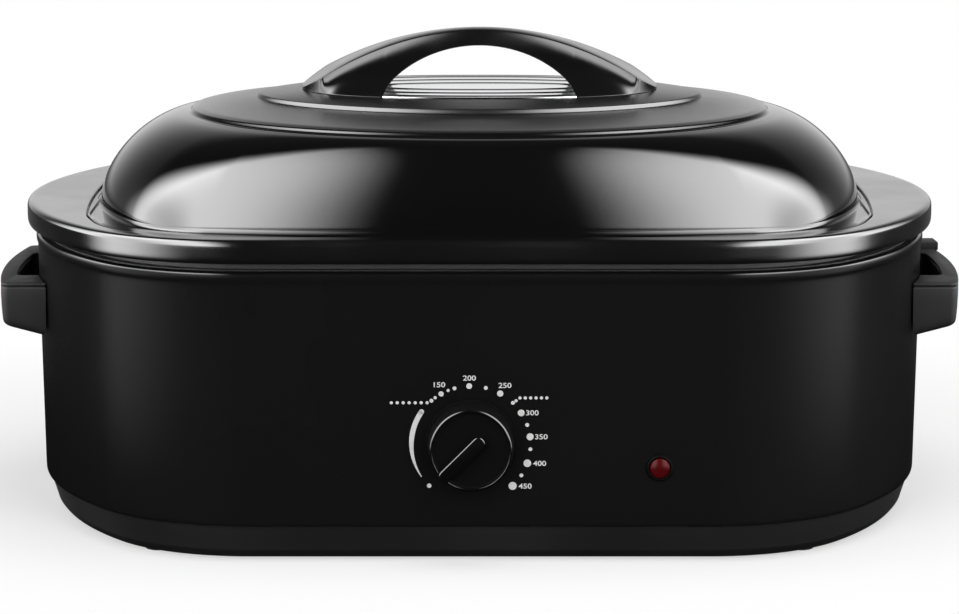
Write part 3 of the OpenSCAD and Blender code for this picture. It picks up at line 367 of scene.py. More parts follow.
def joined(name, meshes):
    """Several meshes as one."""
    work = bmesh.new()
    for mesh in meshes:
        work.from_mesh(mesh)
        bpy.data.meshes.remove(mesh)
    result = bpy.data.meshes.new(name)
    work.to_mesh(result)
    work.free()
    result.shade_smooth()
    return result


rubber = finish("foot_rubber", (0.018, 0.018, 0.018), 0.8, Specular_IOR_Level=0.3)
grain(rubber, 900, 0.00004)
wear(rubber, 60, 0.7, 0.9)
foot_profile = profile_smoothed([
    (0.5, 0), (6.6, 0), (7.8, 0), (8.3, 0.5), (9, 2.4), (9, 3), (3, 3), (3, 7.2), (4, 7.2), (4, 8.6),
    (3.4, 9.2), (0.5, 9.2)], 2)
foot_reach, foot_turn = body_corner_r - 22, math.radians(50)
foot_x = 136.7 + foot_reach * math.cos(foot_turn)
foot_y = body_half_d - body_corner_r + foot_reach * math.sin(foot_turn)
feet = [moved(lathe("foot", foot_profile), i * foot_x, j * foot_y, 0) for i in (-1, 1) for j in (-1, 1)]
put(joined("rubber_foot_pads", feet), "rubber_foot_pads", "housing", rubber, ["rubber_feet"])


def dress(material, *names):
    """Gives the frame's own pieces a finish."""
    for name in names:
        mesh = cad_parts[name].data
        mesh.materials.clear()
        mesh.materials.append(material)


plated = finish("plated_steel", (0.55, 0.56, 0.58), 0.35, Metallic=1.0)
tint(plated, 120, (0.45, 0.46, 0.48), (0.62, 0.63, 0.64))
grain(plated, 260, 0.00002, stretch=(0.05, 1, 1))
dress(plated, "bottom_plate", "plate_screws", "post_screws", "liner_posts", "thermostat_nut",
      "thermostat_bracket", "handle_brackets", "handle_screws", "gland_nut", "lid_washers", "lid_screws",
      "element_clips", "knob_spring", "control_shaft")

# ---- Heated well ----
# The inner liner is aluminised steel with a dull spangle. Its collar is dark with painted shade,
# for the shadowed gap under the pan's rim. Glass-fibre matting goes round its upper part,
# and the heating tube is clipped round its lower part.
well_steel = finish("well_steel", (0.5, 0.5, 0.51), 0.45, Metallic=1.0)
tint(well_steel, 45, (0.4, 0.4, 0.41), (0.6, 0.6, 0.61))
wear(well_steel, 80, 0.35, 0.6)


def shade_above(material, height, colour, shade_roughness):
    """Painted shade: a dark, rough, non-metal colour over the part of a metal piece that is above a height in
    metres.
    """
    tree = material.node_tree
    shader = tree.nodes["Principled BSDF"]
    shaded = ease(tree, place_along(tree, "Z"), height - mm, height)
    metal = calculate(tree, "SUBTRACT", 1.0, shaded)
    mixed = tree.nodes.new("ShaderNodeMix")
    mixed.data_type = "RGBA"
    tree.links.new(shaded, mixed.inputs["Factor"])
    tree.links.new(shader.inputs["Base Color"].links[0].from_socket, mixed.inputs["A"])
    mixed.inputs["B"].default_value = (*colour, 1)
    tree.links.new(mixed.outputs["Result"], shader.inputs["Base Color"])
    tree.links.new(metal, shader.inputs["Metallic"])
    bare_part = calculate(tree, "MULTIPLY", shader.inputs["Roughness"].links[0].from_socket, metal)
    shade_part = calculate(tree, "MULTIPLY", shaded, shade_roughness)
    tree.links.new(calculate(tree, "ADD", bare_part, shade_part), shader.inputs["Roughness"])


collar_z = 166
# Painted shade: the liner's collar above this height is dark, for the shadow in the gap under the pan's rim.
shade_above(well_steel, collar_z * mm, (0.004, 0.004, 0.004), 0.6)
dress(well_steel, "inner_liner")

glass_fibre = finish("glass_fibre", (0.74, 0.7, 0.55), 0.95, Sheen_Weight=0.2)
tint(glass_fibre, 300, (0.62, 0.58, 0.42), (0.82, 0.79, 0.66))
grain(glass_fibre, 700, 0.0006, 6.0, (1, 1, 0.2))
dress(glass_fibre, "insulation_wrap")

heater_steel = finish("heater_steel", (0.13, 0.13, 0.12), 0.6, Metallic=0.8)
tint(heater_steel, 60, (0.09, 0.085, 0.08), (0.2, 0.19, 0.18))
grain(heater_steel, 1200, 0.00003)
dress(heater_steel, "heating_element")

# ---- Thermostat, fuse and wiring ----
# Pale ceramic and moulded blocks, brass bush and earth screw, and sleeved leads. They are
# fixed inside the body and show only when it is opened.
ceramic = finish("white_ceramic", (0.8, 0.78, 0.72), 0.4)
tint(ceramic, 90, (0.74, 0.72, 0.65), (0.84, 0.82, 0.77))
grain(ceramic, 800, 0.00002)
dress(ceramic, "element_terminals", "thermostat_body", "thermal_fuse", "terminal_block")

brass = finish("brass", (0.72, 0.5, 0.2), 0.3, Metallic=1.0)
tint(brass, 150, (0.62, 0.42, 0.16), (0.78, 0.56, 0.24))
grain(brass, 900, 0.00001)
dress(brass, "thermostat_bush", "earth_screw")

sleeve = finish("lead_sleeve", (0.75, 0.74, 0.7), 0.6)
tint(sleeve, 200, (0.66, 0.65, 0.6), (0.8, 0.79, 0.75))
grain(sleeve, 1500, 0.00008, 2.0, (1, 1, 3))
dress(sleeve, "mains_leads", "element_leads", "lamp_leads")

lamp_glass = finish("lamp_glass", (0.95, 0.8, 0.7), 0.05, Transmission_Weight=0.9)
tint(lamp_glass, 300, (0.95, 0.78, 0.68), (0.98, 0.86, 0.76))
dress(lamp_glass, "neon_lamp")

# ---- Painted wall ----
# One band of sheet steel with black semi-gloss paint. Its foot rolls in over the ring,
# and a bead is rolled round it just below its top edge, where the paint is shiniest.
body_paint = finish("body_paint", (0.0044, 0.0044, 0.0047), 0.27, Specular_IOR_Level=0.03)
grain(body_paint, 620, 0.000012)
wear(body_paint, 6, 0.24, 0.3)
tree = body_paint.node_tree
bead_coat = ease(tree, place_along(tree, "Z"), (wall_top - 2.3) * mm, (wall_top - 1) * mm, 0.0, 0.8)
tree.links.new(bead_coat, tree.nodes["Principled BSDF"].inputs["Coat Weight"])
flare, flare_high = 3.3, 152
wall_profile = [
    (-3.6, wall_foot + 1.2), (-3.4, wall_foot + 0.4), (-2.6, wall_foot), (-1.5, wall_foot + 0.1),
    (-0.5, wall_foot + 0.8), (-0.1, wall_foot + 1.9), (0, wall_foot + 3.6), (0.06, wall_foot + 6),
    (flare - 0.6, wall_top - 12), (flare - 0.5, wall_top - 8.4), (flare - 0.3, wall_top - 6.8),
    (flare + 0.3, wall_top - 5.4), (flare + 0.5, wall_top - 3.6), (flare + 0.2, wall_top - 1.6),
    (flare - 0.8, wall_top - 0.4), (flare - 2.2, wall_top), (flare - 4.2, wall_top), (flare - 7, wall_top),
    (flare - 7, wall_top - 1.2), (flare - 2.8, wall_top - 1.2), (flare - 1.4, wall_top - 5),
    (-1.2, wall_foot + 4), (-1.4, wall_foot + 2), (-2.6, wall_foot + 1.2)
]
wall_rings = [body_ring(out, z) for out, z in wall_profile]
put(skin("painted_wall", smoothed(wall_rings, 2, loop=True), loop=True),
    "painted_wall", "housing", body_paint, ["outer_wall"])


def wall_face(z):
    """How far the front of the wall is from the middle, at a height in millimetres."""
    return body_half_d + flare * (z - wall_foot) / flare_high


# ---- Printed scale ----
# White ink on the painted front, round the knob: plain numbers, large dots at the numbers,
# small dots between, a tapered arc at low heat, and two dotted leader lines.
knob_x, knob_z = -5, 72
dial_r = 35
number_high, number_stretch = 3.1, 1.2
ink = finish("white_ink", (0.45, 0.45, 0.445), 0.5)
tint(ink, 700, (0.41, 0.41, 0.405), (0.48, 0.48, 0.475))
grain(ink, 2500, 0.000005)


def flat_piece(points):
    """Flat mesh of one outline of (right, up) points from the knob's axis."""
    mesh = bpy.data.meshes.new("mark")
    mesh.from_pydata([(x * mm, 0, z * mm) for x, z in points], [], [tuple(range(len(points)))])
    return mesh


def on_circle(x, y, radius, degrees):
    """Points on a circle round (x, y), at a series of angles."""
    return [(x + radius * math.cos(math.radians(a)), y + radius * math.sin(math.radians(a))) for a in degrees]


def facing_front(x, y, z):
    """Puts a shape that was built facing up at a place in millimetres, facing the front."""
    return Matrix.Translation(Vector((x, y, z)) * mm) @ Matrix.Rotation(math.pi / 2, 4, "X")


def dot(x, z, radius):
    return flat_piece(on_circle(x, z, radius, range(0, 360, 15)))


def on_dial(turned, radius=dial_r):
    """Place on the scale, turned clockwise from the top in degrees."""
    return radius * math.sin(math.radians(turned)), radius * math.cos(math.radians(turned))


def number(text, x, z):
    """A printed number in wide figures, centred on (x, z)."""
    curve = bpy.data.curves.new("number", "FONT")
    curve.body = text
    curve.size = number_high * mm / 0.72
    curve.align_x, curve.align_y = "CENTER", "CENTER"
    curve.offset = 0.00006
    curve.resolution_u = 4
    maker = bpy.data.objects.new("number", curve)
    bpy.context.scene.collection.objects.link(maker)
    bpy.context.view_layer.update()
    mesh = bpy.data.meshes.new_from_object(maker.evaluated_get(bpy.context.evaluated_depsgraph_get()))
    bpy.data.objects.remove(maker)
    mesh.transform(facing_front(x, 0, z) @ Matrix.Diagonal((number_stretch, 1, 1, 1)))
    return mesh


marks = []
for text, turned, dot_r, number_at in (("150", -30, 1.55, (-18.9, 35.6)), ("200", -1.7, 1.7, (-0.9, 39.6)),
                                       ("250", 29.3, 1.85, (19.9, 35.2)), ("300", 57.3, 2.0, (35.9, 18.8)),
                                       ("350", 82.5, 2.1, (41.2, 4.4)), ("400", 108.9, 2.25, (40.4, -11.6)),
                                       ("450", 135.6, 2.4, (31.9, -25.3))):
    marks.append(dot(*on_dial(turned), dot_r))
    marks.append(number(text, *number_at))
for turned, dot_r in ((-22.5, 0.95), (-16, 1.15), (14.4, 1.15), (44.6, 1.15), (70.5, 1.15), (94.7, 1.15),
                      (122.2, 1.15), (-135.3, 1.35), (-36.8, 0.95), (-41.5, 1.15)):
    marks.append(dot(*on_dial(turned), dot_r))
for i in range(7):
    marks.append(dot(-46.7 + 3.5 * i, 25.0, 0.95))
marks.append(dot(26.4, 26.2, 0.95))
for i in range(6):
    marks.append(dot(28.7 + 3.15 * i, 27.9, 0.95))
arc_start, arc_end, arc_width, arc_steps = -124, -56, 3.0, 28
arc_outer, arc_inner = [], []
for i in range(arc_steps + 1):
    share = i / arc_steps
    half = arc_width / 2 * (0.12 + 0.88 * min(1, share * 1.6) ** 0.8)
    turned = arc_start + (arc_end - arc_start) * share
    arc_outer.append(on_dial(turned, dial_r + half))
    arc_inner.append(on_dial(turned, dial_r - half))
marks.append(flat_piece(arc_outer + arc_inner[::-1]))
marks.append(dot(*on_dial(arc_end), arc_width / 2))
scale_mesh = joined("printed_scale", marks)
lean = math.atan(flare / flare_high)
ink_height = 0.12
scale_mesh.transform(Matrix.Translation(Vector((knob_x, -wall_face(knob_z) - ink_height, knob_z)) * mm)
                     @ Matrix.Rotation(lean, 4, "X"))
put(scale_mesh, "printed_scale", "housing", ink)

# ---- Control knob ----
# Black moulded knob: a skirt, a rounded rim round a dished face, and a raised grip bar
# that points at the lowest mark. It pushes on the shaft.
knob_r, knob_reach, pointer_turn = 27, 22, 135
knob_plastic = finish("knob_plastic", (0.0016, 0.0016, 0.0017), 0.5, Specular_IOR_Level=0.02)
grain(knob_plastic, 1500, 0.000008)
wear(knob_plastic, 40, 0.46, 0.54)
knob_back = wall_face(knob_z + knob_r) + 1
knob_deep = wall_face(knob_z) + knob_reach - knob_back - 2
knob_profile = profile_smoothed([
    (0.5, 1), (24, 1), (25.6, 0.2), (26.7, 0), (27, 0.3), (27, 1.3), (26.95, 1.6), (26.7, 1.7), (25.6, 1.75),
    (25.35, 1.8), (25.25, 2.1), (24.6, knob_deep - 2.2), (24.4, knob_deep - 1.2), (23.9, knob_deep - 0.4),
    (23.2, knob_deep - 0.1), (22.8, knob_deep - 0.2), (22.6, knob_deep - 1.4), (22.5, knob_deep - 2.4),
    (21.8, knob_deep - 2.6), (12, knob_deep - 2.7), (0.5, knob_deep - 2.7)], 2)


def slab(name, outlines, height, round_edge, inside=()):
    """Flat plate with rounded edges, from outlines of (x, y) in millimetres; inside outlines are holes."""
    curve = bpy.data.curves.new(name, "CURVE")
    curve.dimensions, curve.fill_mode = "2D", "BOTH"
    curve.extrude = (height / 2 - round_edge) * mm
    curve.bevel_depth, curve.bevel_resolution = round_edge * mm, 3
    curve.offset = -round_edge * mm
    for points in [*outlines, *inside]:
        spline = curve.splines.new("POLY")
        spline.points.add(len(points) - 1)
        for spot, (x, y) in zip(spline.points, points):
            spot.co = (x * mm, y * mm, 0, 1)
        spline.use_cyclic_u = True
    maker = bpy.data.objects.new(name, curve)
    bpy.context.scene.collection.objects.link(maker)
    bpy.context.view_layer.update()
    mesh = bpy.data.meshes.new_from_object(maker.evaluated_get(bpy.context.evaluated_depsgraph_get()))
    bpy.data.objects.remove(maker)
    work = bmesh.new()
    work.from_mesh(mesh)
    bmesh.ops.remove_doubles(work, verts=work.verts, dist=0.00001)
    bmesh.ops.recalc_face_normals(work, faces=work.faces)
    work.to_mesh(mesh)
    work.free()
    mesh.transform(Matrix.Translation((0, 0, height / 2 * mm)))
    return mesh


def sharpen(mesh, angle):
    """Smooth shading that breaks at edges steeper than an angle in degrees."""
    mesh.shade_smooth()
    mesh.set_sharp_from_angle(angle=math.radians(angle))
    return mesh


def bar_outline(start, end, half):
    """Long outline with round ends, along X."""
    return on_circle(end, 0, half, range(-90, 91, 10)) + on_circle(start, 0, half, range(90, 271, 10))


# The hand wears the raised rim and the grip bar shiny.
tree = knob_plastic.node_tree
rim_y = -(knob_back + knob_deep)
shine = ease(tree, place_along(tree, "Y"), (rim_y + 0.9) * mm, (rim_y + 0.3) * mm, 0.0, 0.8)
tree.links.new(shine, tree.nodes["Principled BSDF"].inputs["Coat Weight"])
knob = lathe("knob", knob_profile, 120)
pointer = slab("pointer", [bar_outline(-6.2, 21, 3.9)], 8, 0.7)
pointer.transform(Matrix.Rotation(math.radians(-pointer_turn), 4, "Z"))
moved(pointer, 0, 0, knob_deep - 6)
knob_mesh = joined("knob_moulding", [knob, pointer])
knob_mesh.transform(facing_front(knob_x, -knob_back, knob_z))
sharpen(knob_mesh, 45)
put(knob_mesh, "knob_moulding", "knob", knob_plastic, ["control_knob"])

# ---- Pilot lamp ----
# A domed lens of clear red plastic in a black bezel that snaps into the wall. The neon
# lamp stands behind it.
lamp_x, lamp_z = 106, 58
red = finish("lens_red", (0.04, 0.0006, 0.0012), 0.32, Specular_IOR_Level=0.06)
tint(red, 260, (0.032, 0.0005, 0.001), (0.05, 0.0007, 0.0016))
lens_curve = [(6 * math.cos(math.radians(a)), 1.8 + 2.6 * math.sin(math.radians(a))) for a in range(0, 85, 7)]
lens = lathe("lens", [(0.4, -10), (3.6, -10), (3.6, 0.2), (6, 1), *lens_curve, (0.4, 4.4)], 48)
bezel_profile = profile_smoothed([
    (3.7, -8), (4.6, -8), (4.6, 0.2), (7.4, 0.2), (8, 0.4), (7.9, 1.2), (7.5, 2.2), (6.9, 2.6), (6.3, 2.4),
    (6.2, 1.6), (6.2, 0.9), (3.8, 0.3)], 2)
bezel = lathe("bezel", bezel_profile, 64)
for mesh in (lens, bezel):
    mesh.transform(facing_front(lamp_x, -wall_face(lamp_z), lamp_z))
put(lens, "red_lens", "housing", red, ["lamp_lens"])
put(bezel, "lens_bezel", "housing", knob_plastic, ["lamp_bezel"])

# ---- Cord gland ----
# Black moulded strain relief at the back, with a collar against the wall and ribs round
# its snout. Its bore takes the cord.
gland_z = wall_foot + 18
bore_r, snout = 3.7, 22
gland_profile = [(bore_r, snout), (bore_r, -12), (8, -12), (8, 0.2), (10.4, 0.2), (11, 0.6), (11, 2.6),
                 (10.4, 3.2), (8.2, 3.4)]
for rib in range(6):
    start = 5 + 2.6 * rib
    radius = 7.9 - 0.28 * rib
    gland_profile += [(radius - 0.9, start), (radius, start + 0.5), (radius, start + 1.5),
                      (radius - 0.9, start + 2)]
gland_profile += [(5.8, snout - 1), (5.4, snout - 0.2), (5, snout), (bore_r, snout)]
gland_rings = []
for radius, height in gland_profile:
    gland_rings.append(np.array([(*p, height) for p in on_circle(0, 0, radius, np.arange(0, 360, 7.5))]))
gland = skin("gland", gland_rings)
gland_at = Matrix.Translation(Vector((0, wall_face(gland_z), gland_z)) * mm)
gland.transform(gland_at @ Matrix.Rotation(-math.pi / 2, 4, "X"))
sharpen(gland, 40)
put(gland, "ribbed_gland", "housing", base_plastic, ["cord_gland"])

# ---- Side handles ----
# Dark grey heat-proof plastic. Each is a grip screwed on from inside the wall, with a
# separate cap on top that leaves a groove; the right cap carries a lug for parking the lid.
handle_plastic = finish("handle_plastic", (0.0045, 0.0045, 0.0047), 0.5, Specular_IOR_Level=0.15)
grain(handle_plastic, 1100, 0.00004)
wear(handle_plastic, 25, 0.5, 0.62)
handle_top, handle_high, taper, cap_high, groove = 148, 25.5, 5, 1.5, 0.7
side_tip, side_bar, slot_half, side_half = 301, 10, 47.5, 80
bow_r, wall_gap = 500, 3.2


def arc_x(centre, radius, y):
    return centre + math.sqrt(radius * radius - y * y)


def handle_ring(inset, height):
    """The handle from above, drawn in by inset: bowed tip, round corners, and a slot that opens on the wall.
    Height is a number of millimetres above the table, or a function of the distance from the middle."""
    half, corner, slot, turn = side_half - inset, 5, slot_half + inset, 6
    tip = [(arc_x(side_tip - inset - bow_r, bow_r, y), y)
           for y in np.linspace(corner - half, half - corner, 25)]
    upper = [(tip[-1][0] - corner * (1 - math.cos(a)), half - corner + corner * math.sin(a))
             for a in np.linspace(0, math.pi / 2, 7)[1:]]
    back = [(arc_x(body_half_w - body_end_r, body_end_r + wall_gap + inset / 2, y), y)
            for y in np.linspace(half, slot, 9)]
    bar = [(arc_x(side_tip - side_bar + inset - bow_r, bow_r, y), y)
           for y in np.linspace(slot - turn, turn - slot, 21)]
    round_in = [(bar[0][0] - turn * (1 - math.cos(a)), slot - turn + turn * math.sin(a))
                for a in np.linspace(math.pi / 2, 0, 6)[:-1]]
    half_way = upper + back + round_in
    points = [(x, -y) for x, y in half_way[len(upper) - 1::-1]] + tip + half_way + bar
    points += [(x, -y) for x, y in round_in[::-1]] + [(x, -y) for x, y in back[::-1]]
    return np.array([(x, y, height(x) if callable(height) else height) for x, y in points])


def underside(rise):
    """Height of a level of the grip, which hangs lower at the wall than at its tip."""
    return lambda x: handle_top - handle_high - taper + taper * (x - 279) / (side_tip - 282) + rise


split = handle_top - cap_high - groove
for side, name in ((1, "right"), (-1, "left")):
    grip_rings = [handle_ring(inset, underside(rise)) for inset, rise in
                  ((3.8, 0), (2.8, 0.2), (1.9, 0.8), (1.2, 1.8), (0.8, 3.2), (0.5, 6), (0.2, 10))]
    grip_rings += [handle_ring(inset, split - low) for inset, low in
                   ((0, 8), (0, 1.6), (0.12, 0.9), (0.5, 0.3), (1.1, 0), (1.4, 0), (1.4, -groove))]
    cap_rings = [handle_ring(inset, handle_top - low) for inset, low in
                 ((1.4, cap_high), (0.2, cap_high), (0, cap_high - 0.2), (0, 0.7), (0.2, 0.2), (0.7, 0))]
    cap_parts = [skin("cap", cap_rings, capped=True)]
    if side == 1:
        lug = [(280, 62), (299, 62), (298, 79), (280, 79)]
        cap_parts.append(moved(slab("lug", [lug], 6, 1.2), 0, 0, handle_top - 1))
    grip_mesh, cap_mesh = skin(name + "_grip", grip_rings, capped=True), joined(name + "_cap", cap_parts)
    for mesh in (grip_mesh, cap_mesh):
        if side == -1:
            mesh.transform(Matrix.Rotation(math.pi, 4, "Z"))
        sharpen(mesh, 40)
    put(grip_mesh, name + "_grip", "housing", handle_plastic, [name + "_handle"])
    put(cap_mesh, name + "_cap", "housing", handle_plastic, [name + "_handle_cap"])

# ---- Roasting pan ----
# Deep drawn steel pan in dark enamel. Its wide rim turns down over the wall, and the lid's
# seat is sunk in it; at each end the seat bows out past the lid and leaves a crescent slot.
seat_x, seat_bow, seat_reach = 240.7, 3, 84
rim_z, seat_z, pan_floor = 194, 191, 52


dome_half_w, dome_half_d = 237.5, 185


def dome_ring(out, z):
    return outline(dome_half_w, dome_half_d, 480, 75, out, z)


def cut_ring(out, z, limit, bow=0):
    """The dome's outline with its ends cut off; bow is how much the cut bulges at its middle."""
    ring = dome_ring(out, z)
    reach = limit + bow * (1 - (ring[:, 1] / seat_reach) ** 2)
    ring[:, 0] = np.sign(ring[:, 0]) * np.minimum(np.abs(ring[:, 0]), reach)
    return ring


pan_enamel = finish("pan_enamel", (0.003, 0.003, 0.0032), 0.2, Coat_Weight=0.25, Coat_Roughness=0.12)
grain(pan_enamel, 300, 0.000012)
wear(pan_enamel, 14, 0.13, 0.2)
seat_out, rim_out = 13, 9
pan_outside = [dome_ring(out, z) for out, z in (
    (-31, pan_floor - 1.5), (-21, 52.4), (-15.6, 58), (-13.8, 68), (-4, 180.5), (-2, 187), (2, seat_z - 1.5))]
pan_outside += [cut_ring(seat_out + 1.5, z, seat_x + 1.5, seat_bow) for z in (seat_z - 1.5, rim_z - 1.5)]
pan_outside += [body_ring(out, z) for out, z in ((3.5, rim_z - 1.5), (6, 191), (7.4, 187), (6.9, 183))]
rim_skin = [body_ring(out, z) for out, z in (
    (7, 180.8), (7.2, 180), (7.9, 179.8), (8.4, 180.4), (8.8, 181.6), (rim_out, 183.4), (rim_out, 186.4),
    (rim_out, 189.4), (8.9, 191.2), (8.4, 192.4), (7.4, 193.4), (5.8, 193.9), (4, rim_z), (2.6, rim_z))]
seat_skin = [cut_ring(seat_out + step, z, seat_x + step, seat_bow) for step, z in (
    (2, rim_z), (1, rim_z), (0.3, 193.8), (0, 193.3), (-0.2, 192), (-0.5, 191.2), (-1.4, seat_z))]
pan_inside = [dome_ring(out, z) for out, z in (
    (3, seat_z), (1, seat_z), (-1.4, 190.6), (-3.2, 189.2), (-4.6, 186.6), (-5.6, 182), (-6.6, 170), (-14.2, 80),
    (-15.3, 69), (-16.4, 62), (-18.6, 57), (-22.5, 53.6), (-28, 52.2), (-36, pan_floor))]
pan_rings = pan_outside + smoothed(rim_skin, 2) + smoothed(seat_skin, 2) + smoothed(pan_inside, 2)
put(skin("pan_and_rim", pan_rings, capped=True),
    "pan_and_rim", "pan", pan_enamel, ["roasting_pan"])

# ---- Wire rack ----
# Nickel-plated wires welded to a frame with cut corners, two runners with feet under
# them, and a lifting loop standing at each end.
rack_wire = finish("rack_wire", (0.72, 0.72, 0.72), 0.22, Metallic=1.0)
tint(rack_wire, 80, (0.62, 0.62, 0.63), (0.78, 0.78, 0.78))
grain(rack_wire, 900, 0.00001)


def wire_mesh(paths, radius, closed=False):
    """Round wires along paths of points in millimetres."""
    curve = bpy.data.curves.new("wire", "CURVE")
    curve.dimensions = "3D"
    curve.bevel_depth, curve.bevel_resolution, curve.use_fill_caps = radius * mm, 3, True
    for points in paths:
        spline = curve.splines.new("POLY")
        spline.points.add(len(points) - 1)
        for spot, point in zip(spline.points, points):
            spot.co = (*(c * mm for c in point), 1)
        spline.use_cyclic_u = closed
    maker = bpy.data.objects.new("wire", curve)
    bpy.context.scene.collection.objects.link(maker)
    bpy.context.view_layer.update()
    mesh = bpy.data.meshes.new_from_object(maker.evaluated_get(bpy.context.evaluated_depsgraph_get()))
    bpy.data.objects.remove(maker)
    return mesh


def bent(corners, radius, closed=False):
    """A path with each corner of it bent to a radius, in six short steps."""
    corners = [np.array(c, float) for c in corners]
    path = []
    for i, here in enumerate(corners):
        if not closed and i in (0, len(corners) - 1):
            path.append(here)
            continue
        before, after = corners[i - 1] - here, corners[(i + 1) % len(corners)] - here
        start = here + before / np.linalg.norm(before) * radius
        end = here + after / np.linalg.norm(after) * radius
        path += [start * (1 - t) ** 2 + here * 2 * t * (1 - t) + end * t * t for t in np.linspace(0, 1, 7)]
    return path


rack_hw, rack_hd, rack_cut, rack_z = 196.5, 144, 34, 63.2
runner_y, loop_high, thick, thin = 55, 62, 2.2, 1.6
w, d, c = rack_hw, rack_hd, rack_cut
rack_frame = [(w, d - c), (w - c, d), (c - w, d), (-w, d - c), (-w, c - d), (c - w, -d), (w - c, -d), (w, c - d)]
wires = [wire_mesh([bent([(x, y, rack_z) for x, y in rack_frame], 12, True)], thick, True)]
pitch = (w - 22) * 2 / 14
cross = []
for i in range(15):
    x = (i - 7) * pitch
    reach = d - max(0, abs(x) - w + c)
    cross.append([(x, -reach, rack_z + 2.8), (x, reach, rack_z + 2.8)])
for y in (-runner_y, runner_y):
    cross.append([(-w, y, rack_z - 0.4), (w, y, rack_z - 0.4)])
    for i in (-1, 1):
        cross.append([(i * (w - 70), y, pan_floor + 0.2), (i * (w - 70), y, rack_z)])
wires.append(wire_mesh(cross, thin))
loops = []
for x in (-w + 6, w - 6):
    loops.append(bent([(x, -runner_y, rack_z - 1), (x, -runner_y, rack_z + loop_high),
                       (x, runner_y, rack_z + loop_high), (x, runner_y, rack_z - 1)], 14))
    loops.append([(x, -runner_y, rack_z - 0.7), (x, runner_y, rack_z - 0.7)])
wires.append(wire_mesh(loops, thick - 0.3))
put(joined("welded_rack", wires), "welded_rack", "rack", rack_wire, ["wire_rack"])

# ---- Lid ----
# Drawn steel dome in gloss black enamel: a flange that rests in the pan's seat, a full
# round shoulder, and two pressed steps below the polished plate.
lid_face, shoulder_h, step_h = 192.2, 55, 2.6
foot_rise, curl = 2.2, 1
lower_step, upper_step, crown_oval = (183, 157), (141, 103), (113, 70)
ledge, ledge_drop = 6, 0.8
shoulder_z = lid_face + shoulder_h
upper_z = shoulder_z + step_h + 5.4
crown_z = upper_z + step_h + 3
lid_t = 1.2


def bulge_ring(out, z):
    """The foot of the dome itself, which bows at the front and back as well as at its ends."""
    half_w, half_d = dome_half_w + out, dome_half_d + out
    end_r, corner_r, front_r = 312 + out, 66 + out, 803 + out
    end_at, front_at = np.array((half_w - end_r, 0)), np.array((0, half_d - front_r))
    apart = np.linalg.norm(front_at - end_at)
    way = (front_at - end_at) / apart
    along = ((end_r - corner_r) ** 2 - (front_r - corner_r) ** 2 + apart ** 2) / (2 * apart)
    across = math.sqrt((end_r - corner_r) ** 2 - along ** 2)
    corner_at = end_at + along * way + across * np.array((-way[1], way[0]))
    meet = math.atan2(corner_at[1], corner_at[0] - end_at[0])
    leave = math.atan2(corner_at[1] - front_at[1], corner_at[0])
    quarter = []
    for centre, radius, angles in ((end_at, end_r, np.linspace(0, meet, end_steps + 1)),
                                   (corner_at, corner_r, np.linspace(meet, leave, corner_steps + 1)[1:]),
                                   (front_at, front_r, np.linspace(leave, math.pi / 2, front_steps + 1)[1:])):
        quarter += [(centre[0] + radius * math.cos(a), centre[1] + radius * math.sin(a)) for a in angles]
    quarter[-1] = (0, half_d)
    return all_round(quarter, z)


def oval_ring(size, power, z):
    """Oval in the directions of the dome's own points, so that the two can blend."""
    ring = bulge_ring(0, z)
    reach = (np.abs(ring[:, 0]) / size[0]) ** power + (np.abs(ring[:, 1]) / size[1]) ** power
    ring[:, :2] *= (reach ** (-1 / power))[:, None]
    return ring


def shoulder_ring(t, inset):
    """From the foot, t = 0, to the outer edge of the ledge round the lower step, t = 1."""
    foot = bulge_ring(curl - inset, 0)
    top = oval_ring((lower_step[0] + ledge - inset, lower_step[1] + ledge - inset), 2.1, 0)
    lean = 0.125 * np.linalg.norm(top - foot, axis=1)
    height = shoulder_h - ledge_drop - foot_rise
    ring = foot * (1 - t) + top * t
    ring[:, 2] = lid_face + foot_rise + (height - lean) * (1 - (1 - t) ** 1.75) ** (1 / 1.75) + lean * t
    return ring


def top_ring(t, z, inset):
    low = oval_ring((lower_step[0] - inset, lower_step[1] - inset), 2.1, 0)
    high = oval_ring((upper_step[0] - inset, upper_step[1] - inset), 1.9, 0)
    ring = low * (1 - t) + high * t
    ring[:, 2] = z
    return ring


def dome_skin(inset, drop):
    """Rings of the dome from its foot to its crown, for its outside or, sunk by inset, its inside."""
    rings = [shoulder_ring(1 - math.cos(a) ** 1.2, inset) for a in np.linspace(0, math.pi / 2, 26)[:-1]]
    rings.append(shoulder_ring(1, inset))
    for out, z in ((4, shoulder_z - 0.45), (1.5, shoulder_z - 0.1), (0.5, shoulder_z)):
        rings.append(oval_ring((lower_step[0] + out - inset, lower_step[1] + out - inset), 2.1, z))
    rings += [top_ring(0.02, shoulder_z + 0.5, inset), top_ring(0.05, shoulder_z + step_h - 0.4, inset),
              top_ring(0.07, shoulder_z + step_h, inset), top_ring(0.09, shoulder_z + step_h + 0.2, inset)]
    rings += [top_ring(t, shoulder_z + step_h + 5.4 * t ** 0.95, inset) for t in np.linspace(0.14, 0.97, 9)]
    for draw, rise in ((0, 0), (0.5, 0.3), (1.6, step_h - 0.5), (2.2, step_h), (3.2, step_h + 0.15)):
        size = [half - draw - inset for half in upper_step]
        rings.append(oval_ring(size, 1.9, upper_z + rise))
    for share in (0.2, 0.5, 0.8, 0.95, 1):
        size = [(u - 3.2) * (1 - share) + c * share - inset for u, c in zip(upper_step, crown_oval)]
        rings.append(oval_ring(size, 1.9 + 0.5 * share, upper_z + step_h + 0.15 + 2.85 * share ** 0.95))
    rings.append(oval_ring((60, 36), 2.4, crown_z))
    for ring in rings:
        ring[:, 2] -= drop
    return smoothed(rings, 1)


lid_enamel = finish("lid_enamel", (0.003, 0.003, 0.0031), 0.06)
grain(lid_enamel, 160, 0.000006)
wear(lid_enamel, 8, 0.05, 0.08)
